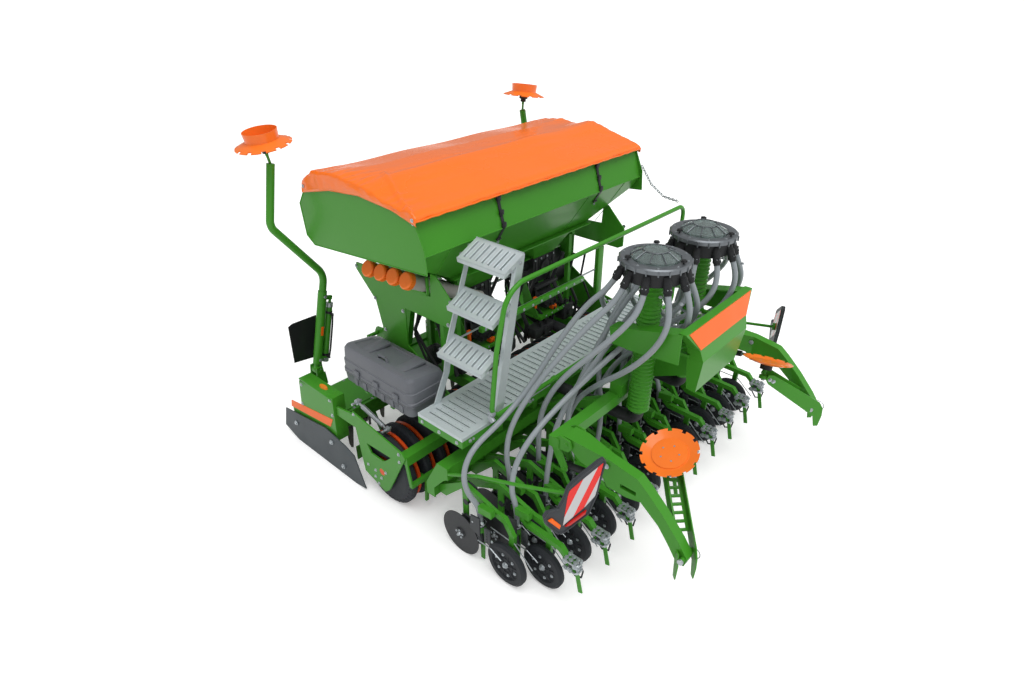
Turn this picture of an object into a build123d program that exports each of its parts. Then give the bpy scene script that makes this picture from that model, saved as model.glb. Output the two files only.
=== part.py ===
from build123d import *

# Mounted seed drill, 3 m wide: rotary cultivator, ring roller, hopper and two rows of coulters.
# Millimetres, +X to the right, +Y in the direction of travel, +Z up, ground at z = 0.
# All places are written from the roller frame, and every piece moves by SHIFT_Y as it is saved,
# so that the origin is on the ground under the middle of the whole machine.
from math import cos, radians, sin, tan
import os

os.makedirs("parts", exist_ok=True)

# ---- driving dimensions
ROW_PITCH = 150              # from one row of seed to the next
ROWS = 20
SHIFT_Y = 390                # the machine reaches from y = -2239 to y = 1459 in the roller frame

ROLLER_Y = 80
TYRE_R = 300
TYRE_HALF = 40               # half of the ring tyre's width at its foot
DRUM_R = 120
RING_R = 282                 # orange guide ring beside each tyre
SIDE_X = 1490                # inner face of the roller's side plates
CROSS_Y, CROSS_Z = -190, 560 # roller crossbeam, centre
CROSS = 80                   # and its side

TROUGH_TOP = 480
TROUGH_REAR, TROUGH_FRONT = 680, 1120
END_X0, END_X1 = 1400, 1510  # end box of the gear trough
ROTORS = 10
ROTOR_PITCH = 300
ROTOR_Y = 900
TINE_AT = 105                # tine's distance from its rotor's axis
BOSS_BOTTOM = 262

MARK_X, MARK_Y, MARK_Z = 1280, 1200, 640     # hinge of a track marker arm
LINK_X, LINK_Y, LINK_Z = 482.5, 1400, 600    # shoulder of a lower link pin
LINK_R = 18.3
TOP_Y, TOP_Z = 1330, 1220                    # top link eye
TOP_R = 16.0
PTO_Z = 640
PTO_R = 17.45

HOPPER_X = 1236              # outer face of the hopper's end panels
SHEET = 6                    # hopper sheet, as modelled

DECK_Z = 976
DECK_Y0, DECK_Y1 = -719, -286
DECK_X0, DECK_X1 = -1400, 1180
RAIL_Y = -750

BEAM1_Y, BEAM1_Z = -420, 400       # coulter frame: front beam
BEAM2_Y, BEAM2_Z = -560, 640       # coulter frame: main beam
BEAM3_Y, BEAM3_Z = -1200, 1010     # coulter frame: upper rear beam

HEAD_X, HEAD_Y, HEAD_Z = 310, -1350, 2070    # rim of a distributor head
HEAD_R = 215
SOCKETS = 10
HOSE_R = 19

WHEEL_R = 165
WHEEL_ROW = {"front": -1131, "rear": -1323}  # y of each row of press wheels
DISC_R = 175
DISC_AHEAD = 420             # a disc is this far in front of its press wheel
ROW_X = {"front": [-1425 + 300 * k for k in range(10)],
         "rear": [-1275 + 300 * k for k in range(10)]}

TRAM_X = 1000                # tramline marker arm, middle of its tip
TRAM_Y, TRAM_Z = -1292, 1032 # its hinge
TIP_Y, TIP_Z = -2150, 655    # pin of the disc arm at its tip
LIFT_Y, LIFT_Z = -1280, 830  # foot of the arm's hydraulic cylinder
EYE_Y, EYE_Z = -1630, 895    # eye of its rod


# ---- ways of making one piece
def block(x0, x1, y0, y1, z0, z1):
    """Rectangular block between the given faces."""
    return Pos((x0 + x1) / 2, (y0 + y1) / 2, (z0 + z1) / 2) * Box(x1 - x0, y1 - y0, z1 - z0)


def plate(outline, x0, x1):
    """Flat outline of (y, z) points, from x0 to x1."""
    face = Plane((x0, 0, 0), x_dir=(0, 1, 0), z_dir=(1, 0, 0)) * make_face(Polyline(*outline, close=True))
    return extrude(face, x1 - x0)


def wall(outline, y0, y1):
    """Flat outline of (x, z) points, from y0 to y1."""
    face = Plane((0, y1, 0), x_dir=(1, 0, 0), z_dir=(0, -1, 0)) * make_face(Polyline(*outline, close=True))
    return extrude(face, y1 - y0)


def slab(outline, z0, z1):
    """Flat outline of (x, y) points, from z0 to z1."""
    return extrude(Pos(0, 0, z0) * make_face(Polyline(*outline, close=True)), z1 - z0)


def rod(start, end, radius):
    """Round bar between two points."""
    way = Vector(*end) - Vector(*start)
    return extrude(Plane(start, z_dir=way) * Circle(radius), way.length)


def beam(start, end, side, across=(1, 0, 0), depth=None):
    """Rectangular bar between two points; its sides lie along across and square to it."""
    way = Vector(*end) - Vector(*start)
    section = Plane(start, x_dir=across, z_dir=way) * Rectangle(side, depth or side)
    return extrude(section, way.length)


def ring_x(outline, y, z):
    """Outline of (x, radius) points, turned about the line along X through y, z."""
    face = Plane((0, y, z), x_dir=(1, 0, 0), z_dir=(0, -1, 0)) * make_face(Polyline(*outline, close=True))
    return revolve(face, Axis((0, y, z), (1, 0, 0)), 360)


def disc_x(x0, x1, y, z, radius):
    """Round disc or shaft along X."""
    return rod((x0, y, z), (x1, y, z), radius)


def tube(points, radius, bends):
    """Round tube along straight runs joined by tangent arcs of the given radii."""
    path = FilletPolyline(*points, radius=bends) if bends else Polyline(*points)
    start = path @ 0
    return sweep(Plane(start, z_dir=path % 0) * Circle(radius), path=path)


def both(shape):
    """A left-hand piece and its mirror image on the right."""
    return [shape, mirror(shape, about=Plane.YZ)]


def joined(*shapes):
    """One body out of pieces that meet."""
    flat = []
    for shape in shapes:
        flat.extend(shape if isinstance(shape, list) else [shape])
    return flat[0].fuse(*flat[1:]).clean() if len(flat) > 1 else flat[0]


saved = {}


def save(node, *shapes):
    """Collects a node's solids; they are written at the end."""
    solids = []
    for shape in shapes:
        for item in shape if isinstance(shape, list) else [shape]:
            solids.extend(item.solids())
    saved[node] = solids


# ---- roller: ring tyres and guide rings on a drum
TYRE_X = [(k - (ROWS - 1) / 2) * ROW_PITCH for k in range(ROWS)]
TYRE_SHAPE = [(-TYRE_HALF, DRUM_R), (-TYRE_HALF, 235), (-30, 286), (-16, TYRE_R), (16, TYRE_R), (30, 286),
              (TYRE_HALF, 235), (TYRE_HALF, DRUM_R)]
save("roller_tyres", [ring_x([(x + dx, r) for dx, r in TYRE_SHAPE], ROLLER_Y, TYRE_R) for x in TYRE_X])

RING_GAP, RING_WIDTH = 4, 24
drum = disc_x(-1440, 1440, ROLLER_Y, TYRE_R, DRUM_R)
stub = disc_x(-1501, 1501, ROLLER_Y, TYRE_R, 30)
guide_rings = [ring_x([(x + TYRE_HALF + RING_GAP, DRUM_R - 5), (x + TYRE_HALF + RING_GAP, RING_R),
                       (x + TYRE_HALF + RING_GAP + RING_WIDTH, RING_R),
                       (x + TYRE_HALF + RING_GAP + RING_WIDTH, DRUM_R - 5)], ROLLER_Y, TYRE_R)
               for x in TYRE_X[:-1]]
save("roller_drum", joined(drum, stub, guide_rings).cut(
    *[ring_x([(x + dx, r) for dx, r in TYRE_SHAPE], ROLLER_Y, TYRE_R) for x in TYRE_X]))

# ---- roller frame: side plates, crossbeam, scrapers and the two carrying beams
SIDE_SHAPE = [(380, 716), (-193, 626), (-221, 587), (10, 161), (66, 111), (304, 188)]
WINDOW = [(236, 493), (-53, 510), (20, 440), (54, 420), (192, 420)]
side_plate = plate(SIDE_SHAPE, -SIDE_X - 12, -SIDE_X) - plate(WINDOW, -SIDE_X - 12, -SIDE_X)
side_plate -= disc_x(-SIDE_X - 12, -SIDE_X, ROLLER_Y, TYRE_R, 30.05)
cross_beam = block(-SIDE_X, SIDE_X, CROSS_Y - CROSS / 2, CROSS_Y + CROSS / 2, CROSS_Z - CROSS / 2,
                   CROSS_Z + CROSS / 2)
link_plate = plate([(300, 560), (300, 690), (615, 640), (620, 560)], -SIDE_X, -SIDE_X + 15)
scraper_bar = block(-SIDE_X, SIDE_X, -262, -230, 330, 362)
scraper_arm = plate([(-262, 345), (-230, 345), (-200, 530), (-230, 530)], -SIDE_X, -SIDE_X + 12)
SCRAPER_IN, SCRAPER_WIDTH = 76, 26          # from the tyre's middle, and its width
SCRAPER_SHAPE = [(-230, 362), (-255, 362), (-255, 330), (-232, 96), (-214, 96), (-232, 310),
                 (-60, 296), (-60, 306), (-230, 330)]
scrapers = [plate(SCRAPER_SHAPE, x + SCRAPER_IN, x + SCRAPER_IN + SCRAPER_WIDTH) for x in TYRE_X[:-1]]
CARRY_SHAPE = [(680, 480), (780, 480), (780, 560), (420, 720), (-230, 720), (-230, 600), (-150, 600),
               (-100, 650), (380, 650), (680, 520)]
carry = plate(CARRY_SHAPE, -640, -560)
save("roller_frame", joined(both(side_plate), cross_beam, both(link_plate), both(carry), scraper_bar,
                            both(scraper_arm), scrapers))

# ---- rotary cultivator: gear trough, end boxes, rotor bosses, levelling bar, marker brackets
trough = plate([(TROUGH_REAR, 350), (TROUGH_REAR, TROUGH_TOP), (TROUGH_FRONT, TROUGH_TOP),
                (TROUGH_FRONT, 350), (TROUGH_FRONT - 40, 330), (TROUGH_REAR + 40, 330)], -END_X0, END_X0)
END_SHAPE = [(640, 300), (625, 720), (1099, 683), (1130, 430), (1130, 300)]
STEP_SHAPE = [(1000, 330), (1130, 400), (1290, 330), (1290, 160), (1200, 160)]
STAY_SHAPE = [(660, 300), (800, 300), (740, 230), (670, 230)]
end_box = plate(END_SHAPE, -END_X1, -END_X0)
end_stay = plate(STAY_SHAPE, -END_X1, -END_X1 + 12)
end_step = plate(STEP_SHAPE, -END_X1, -END_X1 + 12)
ROTOR_X = [(k - (ROTORS - 1) / 2) * ROTOR_PITCH for k in range(ROTORS)]
bosses = [rod((x, ROTOR_Y, BOSS_BOTTOM), (x, ROTOR_Y, 331), 70) for x in ROTOR_X]
bores = [rod((x, ROTOR_Y, BOSS_BOTTOM), (x, ROTOR_Y, BOSS_BOTTOM + 40), 25.05) for x in ROTOR_X]
levelling_bar = block(-1380, 1380, 590, 600, 60, 190)
bar_arms = [plate([(600, 100), (600, 180), (690, 350), (740, 350), (740, 330)], x, x + 12)
            for x in (-1100, -400, 388, 1088)]
marker_foot = block(-MARK_X - 110, -MARK_X + 50, TROUGH_FRONT - 60, MARK_Y + 62, 470, 490)
ear_shape = [(-MARK_X - 50, 490), (-MARK_X + 50, 490), (-MARK_X + 28, MARK_Z + 40),
             (-MARK_X - 28, MARK_Z + 40)]
ears = [wall(ear_shape, MARK_Y + 40, MARK_Y + 52), wall(ear_shape, MARK_Y - 52, MARK_Y - 40)]
marker_pin = rod((-MARK_X, MARK_Y - 60, MARK_Z), (-MARK_X, MARK_Y + 60, MARK_Z), 15)
brackets = [both(shape) for shape in [marker_foot] + ears + [marker_pin]]
save("gear_trough", joined(trough, both(end_box), both(end_stay), both(end_step), bosses, levelling_bar,
                           bar_arms, *brackets).cut(*bores))

for number, x in enumerate(ROTOR_X, 1):
    shaft = rod((x, ROTOR_Y, 250), (x, ROTOR_Y, BOSS_BOTTOM + 38), 25)
    hub = rod((x, ROTOR_Y, 210), (x, ROTOR_Y, BOSS_BOTTOM - 6), 55)
    arm = block(x - TINE_AT - 30, x + TINE_AT + 30, ROTOR_Y - 35, ROTOR_Y + 35, 212, 246)
    tine_shape = [(-30, 214), (30, 214), (22, 40), (8, 3), (-8, 3)]
    tines = [wall([(x + side * TINE_AT + dx, z) for dx, z in tine_shape], ROTOR_Y - 9, ROTOR_Y + 9)
             for side in (-1, 1)]
    turn = Pos(x, ROTOR_Y, 0) * Rot(0, 0, 45 + 90 * (number % 2)) * Pos(-x, -ROTOR_Y, 0)
    save(f"rotor_{number:02d}", turn * joined(shaft, hub, arm, tines))

SKID_SHAPE = [(1390, 282), (1459, 68), (1257, 0), (420, 0), (290, 22), (398, 295), (509, 334), (774, 376)]
skid = plate(SKID_SHAPE, -1530, -1522)
skid_bolts = [disc_x(-1536, -END_X1, y, z, 14) for y, z in ((1242, 195), (701, 271))]
save("side_plates", both(joined(skid, skid_bolts)))

# ---- headstock: three-point tower with lower link pins and top link eye
front_beam = block(-600, 600, TROUGH_FRONT, TROUGH_FRONT + 90, 390, 500)
LINK_SHAPE = [(TROUGH_FRONT, 390), (TROUGH_FRONT, 500), (1330, 660), (1420, 650), (1445, 600), (1420, 550),
              (1300, 500)]
link_cheek = plate(LINK_SHAPE, -LINK_X, -LINK_X + 25)
link_pin = disc_x(-LINK_X - 118, -LINK_X + 25, LINK_Y, LINK_Z, LINK_R)
upright = beam((-330, 1165, 480), (-75, 1290, 1150), 70, across=(0, 1, 0), depth=60)
TOWER_SHAPE = [(1220, 1080), (1290, 1260), (1370, 1260), (1385, 1220), (1340, 1060)]
tower_ear = plate(TOWER_SHAPE, -50, -26) - disc_x(-50, -26, TOP_Y, TOP_Z, TOP_R)
tower_tie = block(-120, 120, 1225, 1300, 1085, 1150)
tower_stay = beam((-300, 730, 480), (-80, 1240, 1110), 50, across=(0, 0, 1), depth=50)
tower_stay -= block(-500, -200, 600, 1000, 380, TROUGH_TOP)
save("headstock", joined(front_beam, both(link_cheek), both(link_pin), both(upright), both(tower_ear),
                         tower_tie, both(tower_stay)))

# ---- gearbox with its input shaft
case = block(-140, 140, 860, 1100, TROUGH_TOP, 700)
case_top = block(-95, 95, 890, 1080, 700, 770)
nose = rod((0, 1100, PTO_Z), (0, 1130, PTO_Z), 60)
input_shaft = rod((0, 1130, PTO_Z), (0, 1215, PTO_Z), PTO_R)
save("gearbox", joined(case, case_top, nose, input_shaft))

# ---- hopper: one shell of sheet steel, open at the top, with two metering funnels
END_PANEL = [(-190, 2290), (-231, 2196), (-277, 2100), (-290, 1940), (980, 1815), (1070, 1870), (1100, 2110),
             (1000, 2246), (542, 2330), (352, 2336), (103, 2317)]
END_FOOT = (1230, 1950)      # the sloping end of the floor starts here (x, z)
FLOOR_X, FLOOR_Z = 715, 1650 # and meets the level floor here
FUNNEL_X = 400
FUNNEL_Y = 215


def hopper_form(inset, top):
    """The space inside the hopper's walls: drawn in by inset, and up to the height top."""
    profile = [(-190 + inset, top), (-190 + inset, 2280), (-262 + inset, 2050), (10 + inset, FLOOR_Z + inset),
               (420 - inset, FLOOR_Z + inset), (1070 - inset, 1880 + inset), (1100 - inset, 2110),
               (1000 - inset, 2245), (1000 - inset, top)]
    body = plate(profile, -1230, 1230)
    outside = [(-END_FOOT[0], END_FOOT[1] + inset), (-FLOOR_X, FLOOR_Z + inset - 1), (-FLOOR_X, 1500),
               (-1300, 1500), (-1300, END_FOOT[1] + inset)]
    body = body.cut(*both(wall(outside, -400, 1200)))
    funnels = []
    for side in (-1, 1):
        top_sheet = Rectangle(2 * (250 - inset), 2 * (200 - inset))
        mouth = Pos(side * FUNNEL_X, FUNNEL_Y, FLOOR_Z + inset + 1) * top_sheet
        throat = Pos(side * FUNNEL_X, FUNNEL_Y, 1480) * Rectangle(2 * (130 - inset), 2 * (110 - inset))
        funnels.append(loft([mouth.face(), throat.face()]))
    return joined(body, funnels)


end_panel = plate(END_PANEL, -HOPPER_X, -1230)
flange = block(-812, 812, -76, -20, 1694, 1702)
save("hopper", joined(hopper_form(0, 2290) - hopper_form(SHEET, 2400), both(end_panel), flange))

# ---- hopper cover: a tarpaulin over the top, drawn over all four edges
OUTER_ROOF = [(-222, 2262), (-212, 2312), (110, 2400), (270, 2440), (560, 2432), (870, 2392), (1012, 2302),
              (1030, 2225)]
INNER_ROOF = [(1020, 2225), (1004, 2296), (866, 2383), (558, 2423), (271, 2431), (113, 2391), (-205, 2305),
              (-214, 2262)]
save("hopper_cover", plate(OUTER_ROOF + INNER_ROOF, -HOPPER_X - 9, HOPPER_X + 9))

# ---- hopper frame: two cross beams, side plates and posts that carry the hopper
SUPPORT_X = 1020
SUPPORT_SHAPE = [(811, 1606), (800, 1659), (660, 1666), (660, 1815), (600, 1815), (600, 1606), (-50, 1640),
                 (-60, 1815), (-110, 1815), (-290, 1640), (-290, 1480), (-240, 1453), (246, 1453),
                 (251, 1138), (15, 997), (-240, 860), (-240, 720), (544, 720), (544, 1195), (597, 1402)]
support = plate(SUPPORT_SHAPE, -SUPPORT_X, -SUPPORT_X + 10)
post = block(-705, -665, 40, 80, 800, FLOOR_Z)
post_front = block(-705, -665, 350, 390, 800, FLOOR_Z)
post_rail = block(-705, -665, 12, 418, FLOOR_Z - 40, FLOOR_Z)
cross_front = block(-SUPPORT_X, SUPPORT_X, 330, 410, 720, 800)
cross_rear = block(-SUPPORT_X, SUPPORT_X, -240, -160, 720, 800)
post_foot = block(-705, -665, -160, 330, 720, 800)
save("hopper_frame", joined(cross_front, cross_rear, both(support), both(post), both(post_front),
                            both(post_rail), both(post_foot)))

# ---- metering units under the funnels, and the four stowed tubes under the hopper's left end
unit = joined(block(-540, -260, 100, 330, 1330, 1480), block(-500, -300, 130, 300, 1230, 1330),
              disc_x(-620, -540, FUNNEL_Y, 1400, 60))
save("metering_units", both(unit))
TUBE_DROP = 0.54             # the tubes lean: fall for each millimetre inwards
TUBE_R, CAP_R = 50, 62
stowed = []
for k in range(4):
    cap = Vector(-1150, 48 + 142 * k, 1779 - 11 * k)      # middle of the cap's face
    lean = Vector(1, 0, -TUBE_DROP).normalized()
    neck = cap + lean * 42
    stowed.append(joined(rod(tuple(cap), tuple(neck), CAP_R),
                         rod(tuple(neck), tuple(cap + lean * 400), TUBE_R)))
save("storage_tubes", stowed)

# ---- fan and air ducts
fan_case = joined(disc_x(820, 980, 480, 1120, 190), block(860, 940, 480, 700, 1180, 1310))
DUCT_Z = 848
duct = tube([(-FUNNEL_X, 215, 1230), (-FUNNEL_X, 215, DUCT_Z), (-HEAD_X, HEAD_Y, DUCT_Z),
             (-HEAD_X, HEAD_Y, 930)], 45, [110, 75])
save("fan_and_ducts", fan_case, both(duct))

# ---- risers: corrugated pipes up to the distributor heads
riser_outline = [(0, 930), (50, 930), (78, 960)]
for step in range(32):
    riser_outline += [(78, 970 + 30 * step), (70, 985 + 30 * step)]
riser_outline += [(78, 1930), (78, 1955), (0, 1955)]
riser_face = Plane.XZ * make_face(Polyline(*riser_outline, close=True))
riser = Pos(-HEAD_X, HEAD_Y, 0) * revolve(riser_face, Axis.Z, 360)
save("risers", both(riser))

# ---- distributor heads: ring with sockets, and a clear lid
head_ring = joined(rod((-HEAD_X, HEAD_Y, 1955), (-HEAD_X, HEAD_Y, 2050), 190),
                   rod((-HEAD_X, HEAD_Y, 2050), (-HEAD_X, HEAD_Y, HEAD_Z), HEAD_R))
SOCKET_TURN = 18
OUT0, OUT1, SOCKET_Z0, SOCKET_Z1 = 184, 222, 2022, 1947


def socket_point(turn, out, z):
    """Point on the left head's circle of sockets; 0 degrees is inboard, 90 forward."""
    return (-HEAD_X + out * cos(radians(turn)), HEAD_Y + out * sin(radians(turn)), z)


head_sockets = [rod(socket_point(SOCKET_TURN + 360 / SOCKETS * k, OUT0, SOCKET_Z0),
                    socket_point(SOCKET_TURN + 360 / SOCKETS * k, OUT1, SOCKET_Z1), 24)
                for k in range(SOCKETS)]
save("distributor_heads", both(joined(head_ring, head_sockets)))
dome = loft([(Pos(-HEAD_X, HEAD_Y, HEAD_Z) * Circle(185)).face(),
             (Pos(-HEAD_X, HEAD_Y, HEAD_Z + 62) * Circle(95)).face()])
hollow = loft([(Pos(-HEAD_X, HEAD_Y, HEAD_Z) * Circle(180)).face(),
               (Pos(-HEAD_X, HEAD_Y, HEAD_Z + 58) * Circle(91)).face()])
save("distributor_lids", both(dome - hollow))

# ---- coulter frame: three beams across, their side plates, links to the roller frame and the gantry's saddle
def beam_x(y, z, half, reach):
    """Square beam across the machine."""
    return block(-reach, reach, y - half, y + half, z - half, z + half)


FRAME_SHAPE = [(-380, 350), (-380, 450), (-510, 690), (-610, 690), (-610, 600), (-560, 560), (-460, 440),
               (-460, 350)]
frame_plates = [plate(FRAME_SHAPE, x, x + 12) for x in (-1450, -706, 694, 1438)]
frame_links = [block(x, x + 60, -510, -150, 600, 690) for x in (-720, 660)]
rear_arms = [beam((x, -560, 650), (x, BEAM3_Y, BEAM3_Z), 60, depth=60) for x in (-430, 430)]
SADDLE_SHAPE = [(-400, 1040), (-400, 1130), (-80, 1230), (80, 1230), (400, 1130), (400, 1040)]
saddle = wall(SADDLE_SHAPE, -1262, -1165)
EAR_SHAPE = [(-1200, 975), (-1200, 1045), (-1250, 1078), (-1320, 1072), (-1336, 1020), (-1310, 985),
             (-1240, 975)]
LUG_SHAPE = [(-1165, 975), (-1235, 975), (-1300, 850), (-1300, 815), (-1262, 805), (-1200, 900)]
tram_ears = []
for x in (-TRAM_X - 53, -TRAM_X + 101):
    tram_ears.append(plate(EAR_SHAPE, x, x + 12))
for x in (-TRAM_X - 42, -TRAM_X + 32):
    tram_ears.append(plate(LUG_SHAPE, x, x + 10))
tram_ears.append(disc_x(-TRAM_X - 58, -TRAM_X + 118, TRAM_Y, TRAM_Z, 15))
tram_ears.append(disc_x(-TRAM_X - 46, -TRAM_X + 46, LIFT_Y, LIFT_Z, 10))
tram_ears = [both(ear) for ear in tram_ears]
save("coulter_frame", joined(beam_x(BEAM1_Y, BEAM1_Z, 40, 1450), beam_x(BEAM2_Y, BEAM2_Z, 50, 1450),
                             beam_x(BEAM3_Y, BEAM3_Z, 40, 1060), frame_plates, frame_links, rear_arms, saddle,
                             *tram_ears))

# ---- coulters: trailing arms with seed tube and blade, discs ahead and press wheels behind
AXLE_R = 12
ARM_IN, ARM_OUT = 30, 60     # the arm stands beside its wheel
TUBE_IN, HOSE_END = 4, 377   # seed tube's place beside the wheel's middle, and its top


def coulter(x, back):
    """One coulter arm, for the row of seed at x; back is how far its row is behind the front one."""
    def shift(outline):
        return [(y - back, z) for y, z in outline]
    run = [(-460 + back, 365), (-460 + back, 435), (-700, 600), (-1000, 520), (-1085, 520), (-1165, 400),
           (-1150, 165), (-1110, 165), (-1122, 390), (-1070, 470), (-1000, 480), (-700, 550),
           (-520 + back, 365)]
    leg = [(-690, 560), (-740, 560), (-740, 300), (-880, 330), (-905, 300), (-730, 240), (-730, 150),
           (-690, 150)]
    arm = plate(shift(run), x + ARM_IN, x + ARM_OUT)
    carrier = plate(shift(leg), x + ARM_IN, x + ARM_IN + 12)
    wheel_axle = disc_x(x - 24, x + ARM_IN + 1, -1131 - back, WHEEL_R, AXLE_R)
    disc_axle = disc_x(x - 30, x + ARM_IN + 1, -711 - back, DISC_R + 3, AXLE_R)
    seed_tube = rod((x + TUBE_IN, -888 - back, 300), (x + TUBE_IN, -888 - back, HOSE_END), 28)
    blade = plate(shift([(-860, 310), (-905, 310), (-895, 10), (-862, 10)]), x + 24, x + 32)
    return joined(arm, carrier, wheel_axle, disc_axle, seed_tube, blade)


BACK = {"front": 0, "rear": WHEEL_ROW["front"] - WHEEL_ROW["rear"]}
save("coulter_arms", [coulter(x, BACK[row]) for row in BACK for x in ROW_X[row]])
WHEEL_SHAPE = [(-14, 12.05), (-14, 110), (-25, 114), (-25, 146), (-12, WHEEL_R), (12, WHEEL_R), (25, 146),
               (25, 114), (14, 110), (14, 12.05)]
DISC_SHAPE = [(-34, 12.05), (-34, 40), (-24, 46), (-22, DISC_R), (-18, DISC_R), (-18, 50), (4, 40),
              (4, 12.05)]
for row in ("front", "rear"):
    y = WHEEL_ROW[row]
    save(f"press_wheels_{row}", [ring_x([(x + dx, r) for dx, r in WHEEL_SHAPE], y, WHEEL_R)
                                 for x in ROW_X[row]])
    save(f"discs_{row}", [ring_x([(x + dx, r) for dx, r in DISC_SHAPE], y + DISC_AHEAD, DISC_R + 3)
                          for x in ROW_X[row]])

# ---- harrow behind the rear row: arm over the wheel, clamp and blade
HARROW_ARM = [(-1125, 505), (-1125, 470), (-1180, 430), (-1450, 422), (-1490, 390), (-1515, 405),
              (-1465, 458), (-1180, 470)]
harrow_arms = []
clamps = []
for x in ROW_X["rear"]:
    harrow_arms.append(joined(plate(HARROW_ARM, x - 20, x + 20),
                              block(x - 20, x + ARM_IN, -1162, -1125, 472, 505)))
    harrow_arms.append(plate([(-1572, 318), (-1600, 326), (-1642, 160), (-1612, 150)], x - 4, x + 4))
    clamps.append(plate([(-1489, 389), (-1514, 404), (-1560, 380), (-1600, 326), (-1571, 318), (-1530, 318)],
                        x - 24, x + 24))
save("harrow_arms", harrow_arms)
save("harrow_clamps", clamps)

# ---- gantry that carries the distributor heads, and the blank orange plates
PANEL_TOP, PANEL_FOOT = (-1694, 1712), (-1762, 1486)      # (y, z) of the rear panel's edges
side_arm = plate([(-1160, 1585), (-1670, 1710), (-1670, 1500), (-1330, 1470), (-1180, 1470)], -460, -360)
side_arm -= plate([(-1150, 1577), (-1670, 1700), (-1670, 1400), (-1150, 1400)], -452, -350)
panel = plate([PANEL_TOP, (-1642, 1712), (-1652, 1400), (-1664, 1240), (-1730, 1240), PANEL_FOOT], -460, 460)
TRAPEZE = [(-460, 1720), (460, 1720), (322, 1568), (306, 1486), (280, 1230), (-280, 1230), (-306, 1486),
           (-322, 1568)]
panel = panel & wall(TRAPEZE, -1800, -1600)
NECK_SHAPE = [(-1262, 1060), (-1262, 1225), (-1670, 1400), (-1670, 1250)]
necks = [plate(NECK_SHAPE, x, x + 12) for x in (-78, 66)]
riser_stays = both(block(-HEAD_X - 15, -HEAD_X + 15, -1670, HEAD_Y - 70, 1490, 1510))
riser_holes = both(rod((-HEAD_X, HEAD_Y, 1400), (-HEAD_X, HEAD_Y, 1750), 79))
save("gantry", joined(both(side_arm), panel, necks, riser_stays).cut(*riser_holes))


def panel_point(height, lift):
    """Point of the rear panel's face at a height, lifted off it."""
    share = (height - PANEL_FOOT[1]) / (PANEL_TOP[1] - PANEL_FOOT[1])
    y = PANEL_FOOT[0] + share * (PANEL_TOP[0] - PANEL_FOOT[0])
    return (y - 0.958 * lift, height + 0.288 * lift)


sign = plate([panel_point(height, lift) for height, lift in ((1706, 0), (1572, 0), (1572, 4), (1706, 4))],
             -430, 430)
sign = sign & wall([(-430, 1720), (430, 1720), (308, 1560), (-308, 1560)], -1800, -1600)
STRIP = [(1290, 404), (662, 505), (712, 411), (1312, 330)]
save("sign_plates", sign, both(plate(STRIP, -END_X1 - 3, -END_X1)))

# ---- platform: slotted deck on a frame of angles, its legs on the main beam
deck = block(DECK_X0, DECK_X1, DECK_Y0, DECK_Y1, DECK_Z - 26, DECK_Z)
SLOTS = int((DECK_X1 - DECK_X0 - 60) / 60)
slots = [block(DECK_X0 + 56 + 60 * k, DECK_X0 + 70 + 60 * k, DECK_Y0 + 50, DECK_Y1 - 50, DECK_Z - 30,
               DECK_Z + 5) for k in range(SLOTS)]
save("platform_deck", deck.cut(*slots))
EDGE_TOP = DECK_Z - 26
edge_rear = block(DECK_X0, DECK_X1, DECK_Y0, DECK_Y0 + 40, EDGE_TOP - 56, EDGE_TOP)
edge_front = block(DECK_X0, DECK_X1, DECK_Y1 - 40, DECK_Y1, EDGE_TOP - 56, EDGE_TOP)
ribs = [block(x, x + 12, DECK_Y0, DECK_Y1, EDGE_TOP - 56, EDGE_TOP)
        for x in (DECK_X0, -906, -306, 294, 894, DECK_X1 - 12)]
LEG_X = (-925, -540, 490, 875)
legs = [block(x, x + 50, -590, -530, 690, EDGE_TOP - 60) for x in LEG_X]
leg_ties = [block(x, x + 50, DECK_Y0 + 10, DECK_Y1 - 10, EDGE_TOP - 100, EDGE_TOP - 60) for x in LEG_X]
save("platform_frame", joined(edge_rear, edge_front, ribs, legs, leg_ties))

# ---- ladder: three slotted treads between two stringers, foot on the deck
TREADS = [(-990, 1990, -800, 2080), (-1100, 1680, -930, 1768), (-1210, 1370, -1040, 1450)]   # outer and inner edge
LADDER_Y0, LADDER_Y1 = -715, -300
treads = []
for x0, z0, x1, z1 in TREADS:
    tread = wall([(x0, z0), (x1, z1), (x1, z1 - 30), (x0 + 6, z0 - 30)], LADDER_Y0, LADDER_Y1)
    for k in range(7):
        y = LADDER_Y0 + 52 + 53 * k
        tread -= block(x0 + 26, x1 - 26, y - 8, y + 8, z0 - 50, z1 + 30)
    treads.append(tread)
stringer_front = wall([(-1270, DECK_Z), (-1210, DECK_Z), (-1110, 1180), (-1060, 1440), (-840, 2050),
                       (-885, 2035), (-1120, 1420), (-1160, 1200)], LADDER_Y1 - 8, LADDER_Y1)
stringer_rear = wall([(-1090, DECK_Z), (-1010, DECK_Z), (-795, 2070), (-870, 2035)], LADDER_Y0,
                     LADDER_Y0 + 30)
save("ladder", joined(treads, stringer_front, stringer_rear))

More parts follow.
